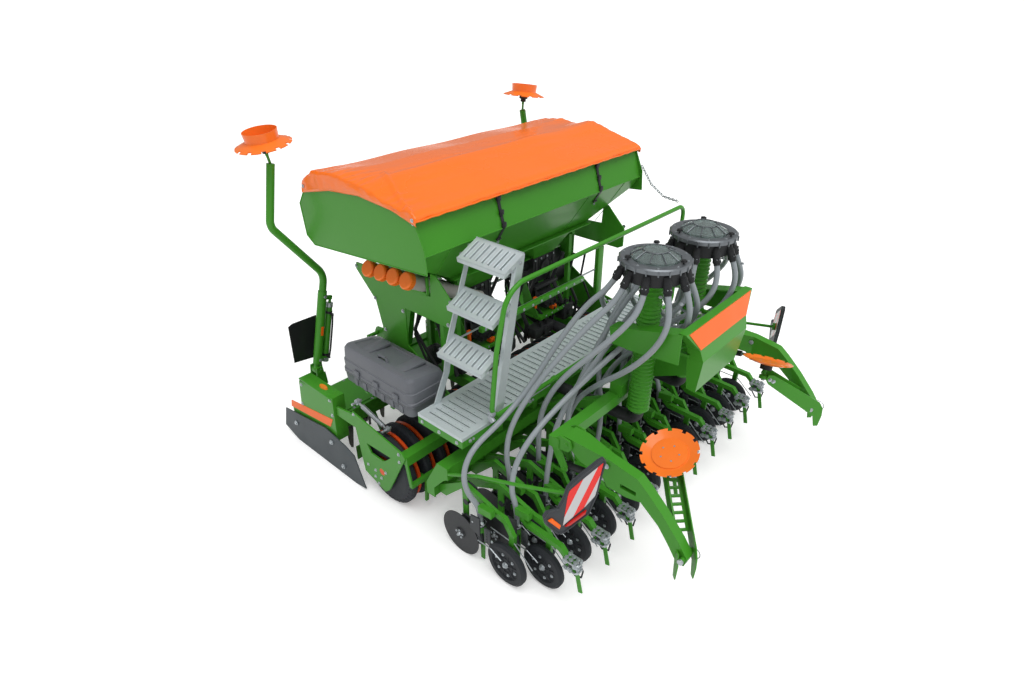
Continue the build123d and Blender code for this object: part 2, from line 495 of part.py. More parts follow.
# ---- handrail: one bent tube in a closed loop, and its clips
RAIL_R = 17
RAIL_X0, RAIL_X1 = -1160, 1160
RAIL_LOW, RAIL_TOP = 1020, 1920
rail = tube([(0, RAIL_Y, RAIL_LOW), (RAIL_X0, RAIL_Y, RAIL_LOW), (-1100, RAIL_Y, 1510), (-1010, RAIL_Y, 1860),
             (-870, RAIL_Y, RAIL_TOP), (RAIL_X1, RAIL_Y, RAIL_TOP), (RAIL_X1, RAIL_Y, RAIL_LOW),
             (20, RAIL_Y, RAIL_LOW)], RAIL_R, [80, 400, 200, 150, 80, 80])
rail_joint = disc_x(-1, 21, RAIL_Y, RAIL_LOW, RAIL_R)
rail_clips = [block(x, x + 40, RAIL_Y - 20, DECK_Y0, 930, RAIL_LOW) for x in (-1110, -500, 300, 940)]
save("handrail", joined(rail, rail_joint, rail_clips))

# ---- storage box beside the platform, and its lid
BOX_X0, BOX_X1, BOX_Y0, BOX_Y1 = -1390, -1040, -200, 550
BOX_Z0, SEAM_Z, BOX_TOP = 870, 965, 1200
BOX_WALL = 8
tray = block(BOX_X0, BOX_X1, BOX_Y0, BOX_Y1, BOX_Z0, SEAM_Z)
tray -= block(BOX_X0 + BOX_WALL, BOX_X1 - BOX_WALL, BOX_Y0 + BOX_WALL, BOX_Y1 - BOX_WALL, BOX_Z0 + BOX_WALL,
              SEAM_Z)
box_brackets = [wall([(-1390, 870), (-1390, 858), (-1060, 858), (-1020, 790), (-1020, 870)], y, y + 40)
                for y in (0, 300)]
save("storage_box", joined(tray, box_brackets))


def lid_form(inset):
    """The lid's outside, drawn in by inset."""
    outline = [(BOX_X0 + inset, SEAM_Z + 2), (BOX_X0 + inset, BOX_TOP - 40 - inset),
               (BOX_X0 + 30, BOX_TOP - inset), (BOX_X1 - 30, BOX_TOP - inset),
               (BOX_X1 - inset, BOX_TOP - 40 - inset), (BOX_X1 - inset, SEAM_Z + 2)]
    return wall(outline, BOX_Y0 + inset, BOX_Y1 - inset)


save("storage_box_lid", lid_form(0) - lid_form(BOX_WALL))

# ---- warning boards: one pair faces forward on the marker brackets, one pair faces back on the coulter frame
FRONT_BOARD = [(-1415, 1068), (-1373, 1084), (-1150, 1080), (-1150, 690), (-1419, 726)]
front_board = wall(FRONT_BOARD, 1296, 1302)
board_bar = block(-1220, -1180, 1262, 1274, 470, 740)
board_arm = block(-1220, -1180, 1274, 1296, 700, 740)
board_seat = block(-1230, -1180, MARK_Y + 62, 1274, 470, 490)
BOARD_LOW, BOARD_HIGH = (-1443, -1573, 835), (-1237, -1671, 1243)
rear_board = beam(BOARD_LOW, BOARD_HIGH, 150, across=(0.75, -0.42, -0.5), depth=8)
board_stay = tube([(-1440, -616, 648), (-1440, -900, 800), (-1420, -1200, 900), (-1352, -1580, 1010)], 12,
                  [120, 120])
save("warning_boards", both(joined(front_board, board_arm, board_bar, board_seat)),
     both(joined(rear_board, board_stay)))

# ---- track markers: a bent pole with its cylinder, folded up, and a notched disc on top
MARK_LEAN = Vector(205, 0, 818).normalized()
MARK_SIDE = Vector(MARK_LEAN.Z, 0, -MARK_LEAN.X)
MARK_FOOT = Vector(-MARK_X, MARK_Y, MARK_Z)
MARK_DISC = Vector(-1384, 1206, 2572)
MARK_AXIS = Vector(-0.14, 0, 0.99).normalized()


def pole_point(along, inboard):
    """Point beside the pole's lower part: so far up it, and so far inboard of it."""
    return tuple(MARK_FOOT + MARK_LEAN * along + MARK_SIDE * inboard)


pole = tube([pole_point(60, 0), (-1075, MARK_Y, 1458), (-1452, MARK_Y, 1959), (-1357, MARK_Y, 2406)], 30,
            [150, 110])
sleeve = rod(pole_point(60, 0), pole_point(700, 0), 37)
foot_eye = rod((-MARK_X, MARK_Y - 30, MARK_Z), (-MARK_X, MARK_Y + 30, MARK_Z), 32)
foot_neck = rod(pole_point(15, 0), pole_point(70, 0), 26)
marker_barrel = rod(pole_point(90, 76), pole_point(560, 76), 26)
marker_rod = rod(pole_point(560, 76), pole_point(640, 76), 12)
barrel_lugs = [beam(pole_point(d, 20), pole_point(d, 90), 24, across=(0, 1, 0), depth=30) for d in (105, 640)]
shaft_foot = MARK_DISC - MARK_AXIS * 110
marker_neck = rod((-1357, MARK_Y, 2396), tuple(shaft_foot + MARK_AXIS * 6), 10)
marker_shaft = rod(tuple(shaft_foot), tuple(MARK_DISC + MARK_AXIS * 6), 12)
marker_arm = joined(pole, sleeve, foot_eye, foot_neck, marker_barrel, marker_rod, barrel_lugs, marker_neck,
                    marker_shaft)
marker_arm -= rod((-MARK_X, MARK_Y - 40, MARK_Z), (-MARK_X, MARK_Y + 40, MARK_Z), 15.05)

CUP_SHAPE = [(12.05, -60), (38, -60), (38, -3), (112, -3), (198, -36), (200, -30), (116, 4), (122, 70),
             (117, 70), (109, 3), (12.05, 3)]
cup = revolve(Plane.XZ * make_face(Polyline(*CUP_SHAPE, close=True)), Axis.Z, 360)
NOTCHES = 12
cup = cup.cut(*[Rot(0, 0, 360 / NOTCHES * k) * Pos(200, 0, -20) * Box(44, 30, 60) for k in range(NOTCHES)])
marker_disc = Plane(MARK_DISC, z_dir=MARK_AXIS).location * cup
for side, shapes in (("left", (marker_arm, marker_disc)),
                     ("right", (both(marker_arm)[1], both(marker_disc)[1]))):
    save(f"marker_arm_{side}", shapes[0])
    save(f"marker_disc_{side}", shapes[1])

# ---- tramline markers: arm, hydraulic cylinder, disc arm folded over it and notched disc
TRAM_SHAPE = [(-1256, 1076), (-1600, 1076), (-1800, 1045), (-1870, 990), (-1990, 880), (-2110, 750),
              (-2176, 660), (-2160, 600), (-2110, 600), (-2040, 700), (-1967, 790), (-1838, 890),
              (-1740, 868), (-1600, 868), (-1560, 930), (-1400, 945), (-1330, 990), (-1256, 990)]
TRAM_PLAN = [(-1035, -1200), (-905, -1200), (-905, -1360), (-965, -1600), (-965, -2300), (-1035, -2300)]
tram_arm = plate(TRAM_SHAPE, -1035, -905) & slab(TRAM_PLAN, 500, 1200)
tram_arm = joined(tram_arm, disc_x(-1035, -905, TRAM_Y, TRAM_Z, 38))
tram_arm = tram_arm.cut(disc_x(-1040, -900, TRAM_Y, TRAM_Z, 15.05),
                        block(-1040, -960, -1800, -1690, 915, 945),
                        block(-1022, -978, -1690, -1500, 800, 925))
tip_pin = disc_x(-TRAM_X - 62, -TRAM_X + 62, TIP_Y, TIP_Z, 14)
tram_arm = joined(tram_arm, tip_pin)

LIFT = Vector(0, EYE_Y - LIFT_Y, EYE_Z - LIFT_Z)
LIFT_FOOT = Vector(-TRAM_X, LIFT_Y, LIFT_Z)
LIFT_WAY = LIFT.normalized()
tram_barrel = joined(rod(tuple(LIFT_FOOT), tuple(LIFT_FOOT + LIFT_WAY * 240), 24),
                     disc_x(-1024, -976, LIFT_Y, LIFT_Z, 26))
tram_barrel = tram_barrel - rod(tuple(LIFT_FOOT + LIFT_WAY * 30), tuple(LIFT_FOOT + LIFT_WAY * 250), 12.05)
tram_barrel = tram_barrel - disc_x(-1030, -970, LIFT_Y, LIFT_Z, 10.05)
rod_eye = disc_x(-1010, -990, EYE_Y, EYE_Z, 18)
tram_rod = joined(rod(tuple(LIFT_FOOT + LIFT_WAY * 110), (-TRAM_X, EYE_Y, EYE_Z), 12), rod_eye)
tram_rod = tram_rod - disc_x(-1011, -989, EYE_Y, EYE_Z, 8)

FLANGE_SHAPE = [(-2026, 1206), (-2058, 1180), (-2132, 946), (-2186, 750), (-2239, 470), (-2190, 425),
                (-2158, 480), (-2120, 640), (-2084, 922), (-2022, 1150)]
WEB_SHAPE = [(-2022, 1150), (-2084, 922), (-2096, 830), (-2104, 830), (-2092, 922), (-2030, 1150)]
flanges = [plate(FLANGE_SHAPE, x, x + 8) for x in (-TRAM_X - 50, -TRAM_X + 42)]
web = plate(WEB_SHAPE, -TRAM_X - 50, -TRAM_X + 50)
web = web.cut(*[rod((-TRAM_X, -2160, z), (-TRAM_X, -1980, z), 14) for z in (870, 935, 1000, 1065, 1120)])
TRAM_DISC = Vector(-711, -1823, 1047)
TRAM_AXIS = Vector(-0.35, 0.07, 0.93).normalized()
hub_foot = TRAM_DISC - TRAM_AXIS * 66
holder = tube([(-TRAM_X + 44, -2110, 880), (-880, -2040, 920), tuple(hub_foot)], 13, [90])
disc_shaft = rod(tuple(hub_foot - TRAM_AXIS * 10), tuple(TRAM_DISC + TRAM_AXIS * 6), 12)
disc_arm = joined(flanges, web, holder, disc_shaft) - disc_x(-TRAM_X - 60, -TRAM_X + 60, TIP_Y, TIP_Z, 14.05)

PAN_SHAPE = [(12.05, -48), (42, -48), (42, -3), (120, -3), (178, 16), (180, 21), (118, 3), (12.05, 3)]
pan = revolve(Plane.XZ * make_face(Polyline(*PAN_SHAPE, close=True)), Axis.Z, 360)
pan = pan.cut(*[Rot(0, 0, 360 / NOTCHES * k) * Pos(178, 0, 15) * Box(30, 26, 40) for k in range(NOTCHES)])
tram_disc = Plane(TRAM_DISC, z_dir=TRAM_AXIS).location * pan
TRAM_PIECES = {"tramline_arm": tram_arm, "tramline_disc_arm": disc_arm, "tramline_disc": tram_disc,
               "tramline_barrel": tram_barrel, "tramline_rod": tram_rod}
for name, shape in TRAM_PIECES.items():
    save(name + "_left", shape)
    save(name + "_right", both(shape)[1])

# ---- safety chain from the hopper's right end down to the handrail
chain = tube([(1225, -262, 2150), (1210, -380, 2010), (1180, -540, 1930), (1107, -750, 1945)], 7, [60, 60])
save("safety_chain", chain)

# ---- seed hoses: each head feeds every second row, with five hoses to its own side and five that cross over.
# The points are the left head's; the right head's hoses mirror them.
OUTER_HOSES = [
    (4, -1125, [(-670, -1190, 1740), (-790, -1040, 1490), (-940, -905, 1200), (-1080, -850, 970),
                (-1130, -850, 760), (-1122, -880, 560)]),
    (5, -825, [(-650, -1390, 1740), (-720, -1240, 1540), (-800, -1030, 1280), (-840, -915, 1010),
               (-828, -885, 760), (-817, -888, 560)]),
    (6, -525, [(-500, -1590, 1740), (-530, -1540, 1590), (-560, -1400, 1400), (-565, -1180, 1200),
               (-533, -990, 980), (-525, -900, 740), (-517, -888, 550)]),
    (7, -225, [(-300, -1622, 1720), (-255, -1560, 1570), (-200, -1410, 1420), (-175, -1200, 1310),
               (-180, -1060, 1140), (-205, -960, 920), (-217, -900, 700), (-217, -888, 530)])]
END_HOSE = {
    1: [(3, -1425, [(-540, -1030, 1740), (-660, -920, 1500), (-870, -830, 1160), (-1130, -800, 1000),
                    (-1380, -790, 930), (-1480, -800, 800), (-1490, -835, 660), (-1417, -888, 510)])],
    -1: [(3, -1425, [(-540, -1030, 1740), (-660, -920, 1500), (-870, -830, 1160), (-1130, -810, 1000),
                     (-1330, -830, 890), (-1410, -870, 740), (-1430, -888, 560)])]}
CROSS_HOSES = [
    (9, 1275, [(8, -1405, 1738), (115, -1340, 1600), (240, -1190, 1470), (450, -1100, 1330),
               (780, -1030, 1165), (1080, -990, 1010), (1230, -985, 850), (1290, -1020, 670),
               (1283, -1070, 520)]),
    (0, 975, [(0, -1180, 1745), (150, -1080, 1580), (400, -1040, 1350), (680, -990, 1130), (880, -1010, 930),
              (960, -1060, 730), (975, -1080, 540)]),
    (1, 675, [(-70, -1040, 1750), (60, -965, 1585), (300, -925, 1330), (520, -925, 1090), (640, -930, 860),
              (675, -1050, 595)]),
    (2, 375, [(-270, -985, 1732), (-130, -848, 1565), (110, -830, 1280), (215, -880, 1020), (238, -960, 810),
              (341, -1052, 690), (375, -1080, 535)])]
MIDDLE_HOSE = {
    1: [(8, 75, [(-120, -1590, 1730), (-80, -1530, 1590), (-20, -1400, 1450), (20, -1200, 1345),
                 (50, -1080, 1155), (63, -1050, 930), (72, -1065, 720), (75, -1080, 540)])],
    -1: [(8, 75, [(-110, -1560, 1730), (-60, -1480, 1610), (0, -1340, 1490), (40, -1180, 1370),
                  (60, -1070, 1180), (68, -1040, 960), (75, -1055, 740), (77, -1080, 550)])]}
SEED_END = -888                     # y of the front row's seed tubes
STEP_TOP, STEP_FOOT = 950, 500      # between these heights a hose moves over to its own row of coulters
LANE = 56                           # the right head's crossing hoses pass this far behind the left head's


def step(z, above, below):
    """Shift along Y at height z: above over STEP_TOP, below under STEP_FOOT, and in between evenly."""
    share = min(1, max(0, (STEP_TOP - z) / (STEP_TOP - STEP_FOOT)))
    return above + share * (below - above)


def hose(socket, points, end, lane, below):
    """Round hose from a socket of the left head through points to its seed tube, and its bends and runs."""
    turn = SOCKET_TURN + 360 / SOCKETS * socket
    route = [socket_point(turn, OUT1, SOCKET_Z1), socket_point(turn, OUT1 + 47.5, SOCKET_Z1 - 93.75)]
    route += [(x, y + step(z, lane, below), z) for x, y, z in points[:-1]]
    route += [(end[0], end[1], points[-1][2]), end]      # the last run stands on the seed tube
    corners = [Vector(*point) for point in route]
    runs = [b - a for a, b in zip(corners, corners[1:])]
    bends = [0.45 * min(a.length, b.length) / tan(radians(a.get_angle(b)) / 2)
             for a, b in zip(runs, runs[1:])]
    return tube(route, HOSE_R, bends), bends, runs


hoses = []
for side, row in ((1, "front"), (-1, "rear")):      # the left head, then the right head in its mirror
    tables = ((OUTER_HOSES + END_HOSE[side], 0, 0), (CROSS_HOSES, LANE, BACK["rear"]),
              (MIDDLE_HOSE[side], 0, BACK["rear"]))
    for table, lane, drawn_back in tables:
        for socket, x, points in table:
            end = (x + side * TUBE_IN, SEED_END - BACK[row], HOSE_END)
            shape, bends, runs = hose(socket, points, end, 0 if side == 1 else -lane, drawn_back - BACK[row])
            print("hose to", side * x, "bends", [round(r) for r in bends], "runs",
                  [round(run.length) for run in runs])
            hoses.append(shape if side == 1 else mirror(shape, about=Plane.YZ))
save("seed_hoses", hoses)

centre = Compound([s for group in saved.values() for s in group]).bounding_box()
print("box", centre.min, centre.max)
for node, solids in saved.items():
    export_step(Compound([Pos(0, SHIFT_Y, 0) * s for s in solids]), f"parts/{node}.step")
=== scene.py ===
import bmesh
import bpy
from math import cos, pi, radians, sin
from mathutils import Matrix, Vector, noise


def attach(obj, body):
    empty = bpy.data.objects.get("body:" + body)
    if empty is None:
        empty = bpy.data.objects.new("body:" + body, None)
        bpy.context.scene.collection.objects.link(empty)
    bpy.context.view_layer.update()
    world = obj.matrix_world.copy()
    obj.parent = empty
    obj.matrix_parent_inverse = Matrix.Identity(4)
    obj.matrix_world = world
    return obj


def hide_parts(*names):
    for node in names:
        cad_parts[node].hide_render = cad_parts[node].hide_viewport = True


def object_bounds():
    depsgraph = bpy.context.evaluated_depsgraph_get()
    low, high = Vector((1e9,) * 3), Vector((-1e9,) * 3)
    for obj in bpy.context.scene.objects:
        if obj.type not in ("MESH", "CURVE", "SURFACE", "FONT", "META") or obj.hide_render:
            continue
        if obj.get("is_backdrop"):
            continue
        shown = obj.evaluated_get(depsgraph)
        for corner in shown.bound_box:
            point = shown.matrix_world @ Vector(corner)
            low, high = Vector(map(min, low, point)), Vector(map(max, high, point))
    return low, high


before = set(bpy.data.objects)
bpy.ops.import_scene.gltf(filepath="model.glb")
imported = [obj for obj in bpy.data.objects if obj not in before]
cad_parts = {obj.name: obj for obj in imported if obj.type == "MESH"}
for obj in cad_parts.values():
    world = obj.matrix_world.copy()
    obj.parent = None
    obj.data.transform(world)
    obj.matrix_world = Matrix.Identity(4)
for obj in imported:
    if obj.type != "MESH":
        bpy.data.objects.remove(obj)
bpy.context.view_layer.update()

# ---- rotary cultivator: gear trough, gearbox and headstock
# Welded steel boxes in gloss green paint, bolted along their flanges. The trough holds the gears
# of ten rotors, and the tower above it carries the machine on the tractor's three-point linkage.
UP = Vector((0, 0, 1))
METAL_SPECULAR, PAINT_SPECULAR, COAT_ROUGHNESS = 0.5, 0.22, 0.10
SHINIEST, DULLEST, GRAIN_DEPTH = 0.8, 1.25, 0.001


def finish(name, colour, second, rough, metal=0.0, patch=3.0, grain=700.0, bump=0.05, coat=0.0):
    """Material whose colour drifts to a second one in soft patches, under a fine grain."""
    made = bpy.data.materials.new(name)
    made.use_nodes = True
    nodes, link = made.node_tree.nodes, made.node_tree.links.new
    shader = nodes["Principled BSDF"]
    shader.inputs["Metallic"].default_value = metal
    shader.inputs["Coat Weight"].default_value = coat
    shader.inputs["Coat Roughness"].default_value = COAT_ROUGHNESS
    shader.inputs["Specular IOR Level"].default_value = METAL_SPECULAR if metal else PAINT_SPECULAR
    spot = nodes.new("ShaderNodeTexCoord")
    drift = nodes.new("ShaderNodeTexNoise")
    drift.inputs["Scale"].default_value = patch
    drift.inputs["Detail"].default_value = 4.0
    link(spot.outputs["Object"], drift.inputs["Vector"])
    blend = nodes.new("ShaderNodeMix")
    blend.data_type = "RGBA"
    blend.inputs["A"].default_value = (*colour, 1.0)
    blend.inputs["B"].default_value = (*second, 1.0)
    link(drift.outputs["Fac"], blend.inputs["Factor"])
    link(blend.outputs["Result"], shader.inputs["Base Color"])
    dull = nodes.new("ShaderNodeMapRange")
    dull.inputs["To Min"].default_value = rough * SHINIEST
    dull.inputs["To Max"].default_value = min(1.0, rough * DULLEST)
    link(drift.outputs["Fac"], dull.inputs["Value"])
    link(dull.outputs["Result"], shader.inputs["Roughness"])
    fine = nodes.new("ShaderNodeTexNoise")
    fine.inputs["Scale"].default_value = grain
    link(spot.outputs["Object"], fine.inputs["Vector"])
    skin = nodes.new("ShaderNodeBump")
    skin.inputs["Strength"].default_value = bump
    skin.inputs["Distance"].default_value = GRAIN_DEPTH
    link(fine.outputs["Fac"], skin.inputs["Height"])
    link(skin.outputs["Normal"], shader.inputs["Normal"])
    return made


def coat_nodes(material, *names):
    """Gives CAD nodes a material in every slot."""
    for name in names:
        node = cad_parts[name]
        for slot in node.material_slots:
            slot.material = material


def turned(start, end):
    """Matrix that stands Z along the line from start to end, at its middle."""
    stand = (Vector(end) - Vector(start)).to_track_quat("Z", "Y").to_matrix().to_4x4()
    return Matrix.Translation((Vector(start) + Vector(end)) / 2) @ stand


def spoke(degrees, axis):
    """Unit vector at an angle round the X or the Z axis."""
    turn = radians(degrees)
    return Vector((0, cos(turn), sin(turn))) if axis == "X" else Vector((cos(turn), sin(turn), 0))


def hoop(centre, radius, axis, steps=24):
    """Points of a closed ring round the X or the Z axis."""
    return [centre + spoke(360 / steps * k, axis) * radius for k in range(steps + 1)]


def bar(shape, start, end, radius, sides=12, tip=None):
    """Round bar between two points, tapered where tip gives its other radius."""
    bmesh.ops.create_cone(shape, cap_ends=True, segments=sides, radius1=radius,
                          radius2=radius if tip is None else tip,
                          depth=(Vector(end) - Vector(start)).length, matrix=turned(start, end))


def bent_bar(shape, points, radius, sides=8):
    """Round bar through several points, each length run on a little to close the bend."""
    for start, end in zip(points, points[1:]):
        overlap = (Vector(end) - Vector(start)).normalized() * radius * 0.5
        bar(shape, start, Vector(end) + overlap, radius, sides)


def block(shape, low, high, rounding=0.003):
    """Box between two corners, its edges rounded."""
    size = Vector(high) - Vector(low)
    middle = (Vector(high) + Vector(low)) / 2
    stretch = Matrix.Translation(middle) @ Matrix.Diagonal((*size, 1.0))
    made = bmesh.ops.create_cube(shape, size=1.0, matrix=stretch)
    edges = list(dict.fromkeys(edge for corner in made["verts"] for edge in corner.link_edges))
    bmesh.ops.bevel(shape, geom=edges, offset=rounding, segments=2, profile=0.5, affect="EDGES", material=-1)


def cut_plate(shape, outline, move, rounding=0.002):
    """Flat plate: an outline of 3-D points, moved by a vector to give its thickness."""
    face = shape.faces.new([shape.verts.new(point) for point in outline])
    grown = bmesh.ops.extrude_face_region(shape, geom=[face])["geom"]
    moved = [item for item in grown if isinstance(item, bmesh.types.BMVert)]
    bmesh.ops.translate(shape, verts=moved, vec=move)
    faces = [face] + [item for item in grown if isinstance(item, bmesh.types.BMFace)]
    rims = list(dict.fromkeys(edge for each in faces for edge in each.edges))
    bmesh.ops.bevel(shape, geom=rims, offset=rounding, segments=1, profile=0.5, affect="EDGES", material=-1)


def bolt(shape, at, way, size=0.010):
    """Hexagon head on its washer; way points out of the surface."""
    at, way = Vector(at), Vector(way).normalized()
    bar(shape, at - way * size * 0.2, at + way * size * 0.25, size * 1.55, 12)
    bar(shape, at, at + way * size * 0.95, size, 6)


def place(name, shape, body, slot, *materials, sharp=35.0):
    """Finished piece of a bmesh: smooth up to the sharp angle, with its materials, riding on a body."""
    bmesh.ops.recalc_face_normals(shape, faces=shape.faces[:])
    mesh = bpy.data.meshes.new(name)
    shape.to_mesh(mesh)
    shape.free()
    mesh.shade_smooth()
    mesh.set_sharp_from_angle(angle=radians(sharp))
    for material in materials:
        mesh.materials.append(material)
    piece = bpy.data.objects.new(name, mesh)
    bpy.context.scene.collection.objects.link(piece)
    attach(piece, body)
    return piece


green = finish("green_gloss_paint", (0.058, 0.285, 0.022), (0.048, 0.248, 0.018), 0.32, patch=1.3,
               grain=420.0, bump=0.03, coat=0.10)
zinc = finish("galvanised_steel", (0.56, 0.60, 0.62), (0.42, 0.46, 0.49), 0.38, metal=0.75, patch=35.0,
              bump=0.2)
coat_nodes(green, "gear_trough", "gearbox", "headstock")
label_orange = finish("orange_enamel", (0.95, 0.155, 0.012), (0.90, 0.140, 0.010), 0.36, patch=5.0, bump=0.03,
                      coat=0.1)
coat_nodes(label_orange, "sign_plates")

SMALL_BOLT = 0.008
TROUGH_END, TROUGH_TOP = 1.51, 0.48
FLANGE_FIRST, FLANGE_PITCH = 0.20, 0.18
fittings = bmesh.new()
for side in (-1, 1):
    for y, z in ((1.05, 0.69), (1.46, 0.655), (1.045, 0.55), (1.50, 0.45), (1.20, 0.335)):
        bolt(fittings, (side * TROUGH_END, y, z), (side, 0, 0))
    for k in range(7):
        for y in (1.09, 1.49):
            bolt(fittings, (side * (FLANGE_FIRST + FLANGE_PITCH * k), y, TROUGH_TOP), UP, SMALL_BOLT)
    for y in (1.27, 1.34, 1.47):
        bolt(fittings, (side * 0.14, y, 0.66), (side, 0, 0), SMALL_BOLT)
    for z in (0.42, 0.47):
        bolt(fittings, (side * 0.52, 1.60, z), (0, 1, 0))
    for x in (-1.36, -1.20):
        bolt(fittings, (side * x, 1.62, 0.49), UP)
place("cultivator_bolts", fittings, "root", "galvanised", zinc)

covers = bmesh.new()
for side in (-1, 1):
    cut_plate(covers, [(side * x, y, TROUGH_TOP + 0.001)
                       for x, y in ((0.17, 1.10), (1.38, 1.10), (1.38, 1.48), (0.17, 1.48))], UP * 0.006)
    inner, outer = sorted((side * 1.40, side * 1.515))
    block(covers, (inner, 1.035, 0.70), (outer, 1.48, 0.714))
    for x in (-1.335, -1.225):
        cut_plate(covers, [(side * x, y, z) for y, z in ((1.55, 0.49), (1.66, 0.49), (1.57, 0.60))],
                  (side * 0.010, 0, 0))
place("cultivator_covers", covers, "root", "green_paint", green)

amber = finish("amber_reflector", (0.85, 0.26, 0.02), (0.80, 0.22, 0.02), 0.22, patch=60.0, bump=0.3,
               coat=0.6)
OVAL = Matrix.Diagonal((0.62, 1.5, 1, 1))
reflector = bmesh.new()
for side in (-1, 1):
    bmesh.ops.create_cone(reflector, cap_ends=True, segments=24, radius1=0.034, radius2=0.030, depth=0.012,
                          matrix=Matrix.Translation((side * 1.455, 1.21, 0.720)) @ OVAL)
place("amber_reflectors", reflector, "root", "orange_plastic", amber)

# ---- rotors, and the side plates that keep the soil in
# Forged tine carriers in worn steel turn on the gears' shafts under the trough. Dark grey sheet
# plates are bolted outside its ends.
worn_steel = finish("worn_tine_steel", (0.30, 0.29, 0.28), (0.16, 0.15, 0.14), 0.42, metal=0.9, patch=30.0,
                    bump=0.2)
coat_nodes(worn_steel, *[f"rotor_{k:02d}" for k in range(1, 11)])
dark_steel = finish("dark_grey_paint", (0.062, 0.076, 0.084), (0.050, 0.062, 0.070), 0.38, patch=5.0,
                    bump=0.04)
coat_nodes(dark_steel, "side_plates")
plate_bolts = bmesh.new()
for side in (-1, 1):
    for y, z in ((1.632, 0.195), (1.091, 0.271), (0.964, 0.092)):
        bolt(plate_bolts, (side * 1.534, y, z), (side, 0, 0), 0.014)
place("side_plate_bolts", plate_bolts, "root", "galvanised", zinc)

# ---- ring roller
# Twenty rubber ring tyres on a steel drum, each with an orange guide ring beside it. The frame's
# plates are bolted, and a turnbuckle on each side sets the roller's height.
rubber = finish("ring_tyre_rubber", (0.024, 0.027, 0.033), (0.036, 0.040, 0.048), 0.55, patch=12.0, bump=0.3)
orange_steel = finish("orange_ring_paint", (0.78, 0.085, 0.012), (0.68, 0.070, 0.012), 0.36, patch=8.0,
                      coat=0.2)
coat_nodes(rubber, "roller_tyres")
coat_nodes(orange_steel, "roller_drum")
coat_nodes(green, "roller_frame")
ROLLER_Y, ROLLER_Z = 0.47, 0.30
TYRE_FIRST, TYRE_PITCH = -1.425, 0.15
LUG_FOOT, LUG_TIP = 0.262, 0.2955
lugs = bmesh.new()
for tyre in range(20):
    centre = Vector((TYRE_FIRST + TYRE_PITCH * tyre, ROLLER_Y, ROLLER_Z))
    for k in range(36):
        out = spoke(10 * k, "X")
        for side in (-1, 1):
            bar(lugs, centre + out * LUG_FOOT + Vector((side * 0.036, 0, 0)),
                centre + out * LUG_TIP + Vector((side * 0.020, 0, 0)), 0.005, 4)
place("tyre_lugs", lugs, "roller", "tyre_rubber", rubber)

TURNBUCKLE_X = 1.42
roller_bolts = bmesh.new()
for side in (-1, 1):
    for y, z in ((0.641, 0.281), (0.55, 0.274), (0.561, 0.207), (0.483, 0.234), (0.527, 0.156), (0.421, 0.32),
                 (0.75, 0.70), (0.235, 0.60), (0.235, 0.53)):
        bolt(roller_bolts, (side * 1.502, y, z), (side, 0, 0), 0.009)
    x = side * TURNBUCKLE_X
    bar(roller_bolts, (x, 0.74, 0.733), (x, 0.50, 0.671), 0.019, 16)
    bar(roller_bolts, (x, 0.80, 0.749), (x, 0.46, 0.660), 0.010)
    for y, z in ((0.80, 0.749), (0.46, 0.660)):
        bar(roller_bolts, (x - side * 0.015, y, z), (x + side * 0.015, y, z), 0.024, 16)
        bar(roller_bolts, (x - side * 0.035, y, z), (x + side * 0.055, y, z), 0.010)
place("roller_bolts", roller_bolts, "root", "galvanised", zinc)

# ---- hopper
# Folded sheet panels welded along their edges, stiffened by flanges along the folds. Two black
# tension straps hold the cover down at the back.
coat_nodes(green, "hopper", "hopper_frame")
black = finish("black_plastic", (0.022, 0.023, 0.025), (0.032, 0.033, 0.035), 0.42, patch=14.0, bump=0.08)
HOPPER_END = 1.236
END_FOLDS = ((0.200, 2.290), (0.113, 2.100), (0.100, 1.940), (1.370, 1.815), (1.460, 1.870), (1.490, 2.110),
             (1.390, 2.246))
flanges = bmesh.new()
for side in (-1, 1):
    for (y0, z0), (y1, z1) in zip(END_FOLDS, END_FOLDS[1:]):
        bar(flanges, (side * HOPPER_END, y0, z0), (side * HOPPER_END, y1, z1), 0.0045, 8)
for y, z in ((0.1285, 2.050), (1.490, 2.110)):
    bar(flanges, (-1.228, y, z), (1.228, y, z), 0.005, 8)
for x in (-1.0, -0.5, 0.5, 1.0):
    bar(flanges, (x, 0.130, 2.046), (x, 0.400, 1.652), 0.003, 6)
place("hopper_seams", flanges, "root", "green_paint", green)

STRAP_X, STRAP_HALF, STRAP_THICK = (-0.50, 0.65), 0.014, 0.004
STRAP_RUN = [(0.192, 2.285), (0.1255, 2.052), (0.186, 1.955)]
straps = bmesh.new()
for x in STRAP_X:
    left, right = x - STRAP_HALF, x + STRAP_HALF
    for (y0, z0), (y1, z1) in zip(STRAP_RUN, STRAP_RUN[1:]):
        out = Vector((0, z0 - z1, y1 - y0)).normalized() * -STRAP_THICK
        cut_plate(straps, [(left, y0, z0), (right, y0, z0), (right, y1, z1), (left, y1, z1)], out, 0.0008)
    for buckle in (0.15, 0.55, 0.9):
        (y0, z0), (y1, z1) = STRAP_RUN[:2]
        y, z = y0 + buckle * (y1 - y0), z0 + buckle * (z1 - z0)
        block(straps, (x - 0.020, y - 0.016, z - 0.018), (x + 0.020, y - 0.002, z + 0.018), 0.003)
    bar(straps, (x - 0.022, 0.176, 1.958), (x + 0.022, 0.176, 1.958), 0.008, 10)
place("cover_straps", straps, "root", "dark_grey_plastic", black)
hopper_bolts = bmesh.new()
for x in STRAP_X:
    bolt(hopper_bolts, (x, 0.185, 1.935), (0, -0.83, -0.56), SMALL_BOLT)
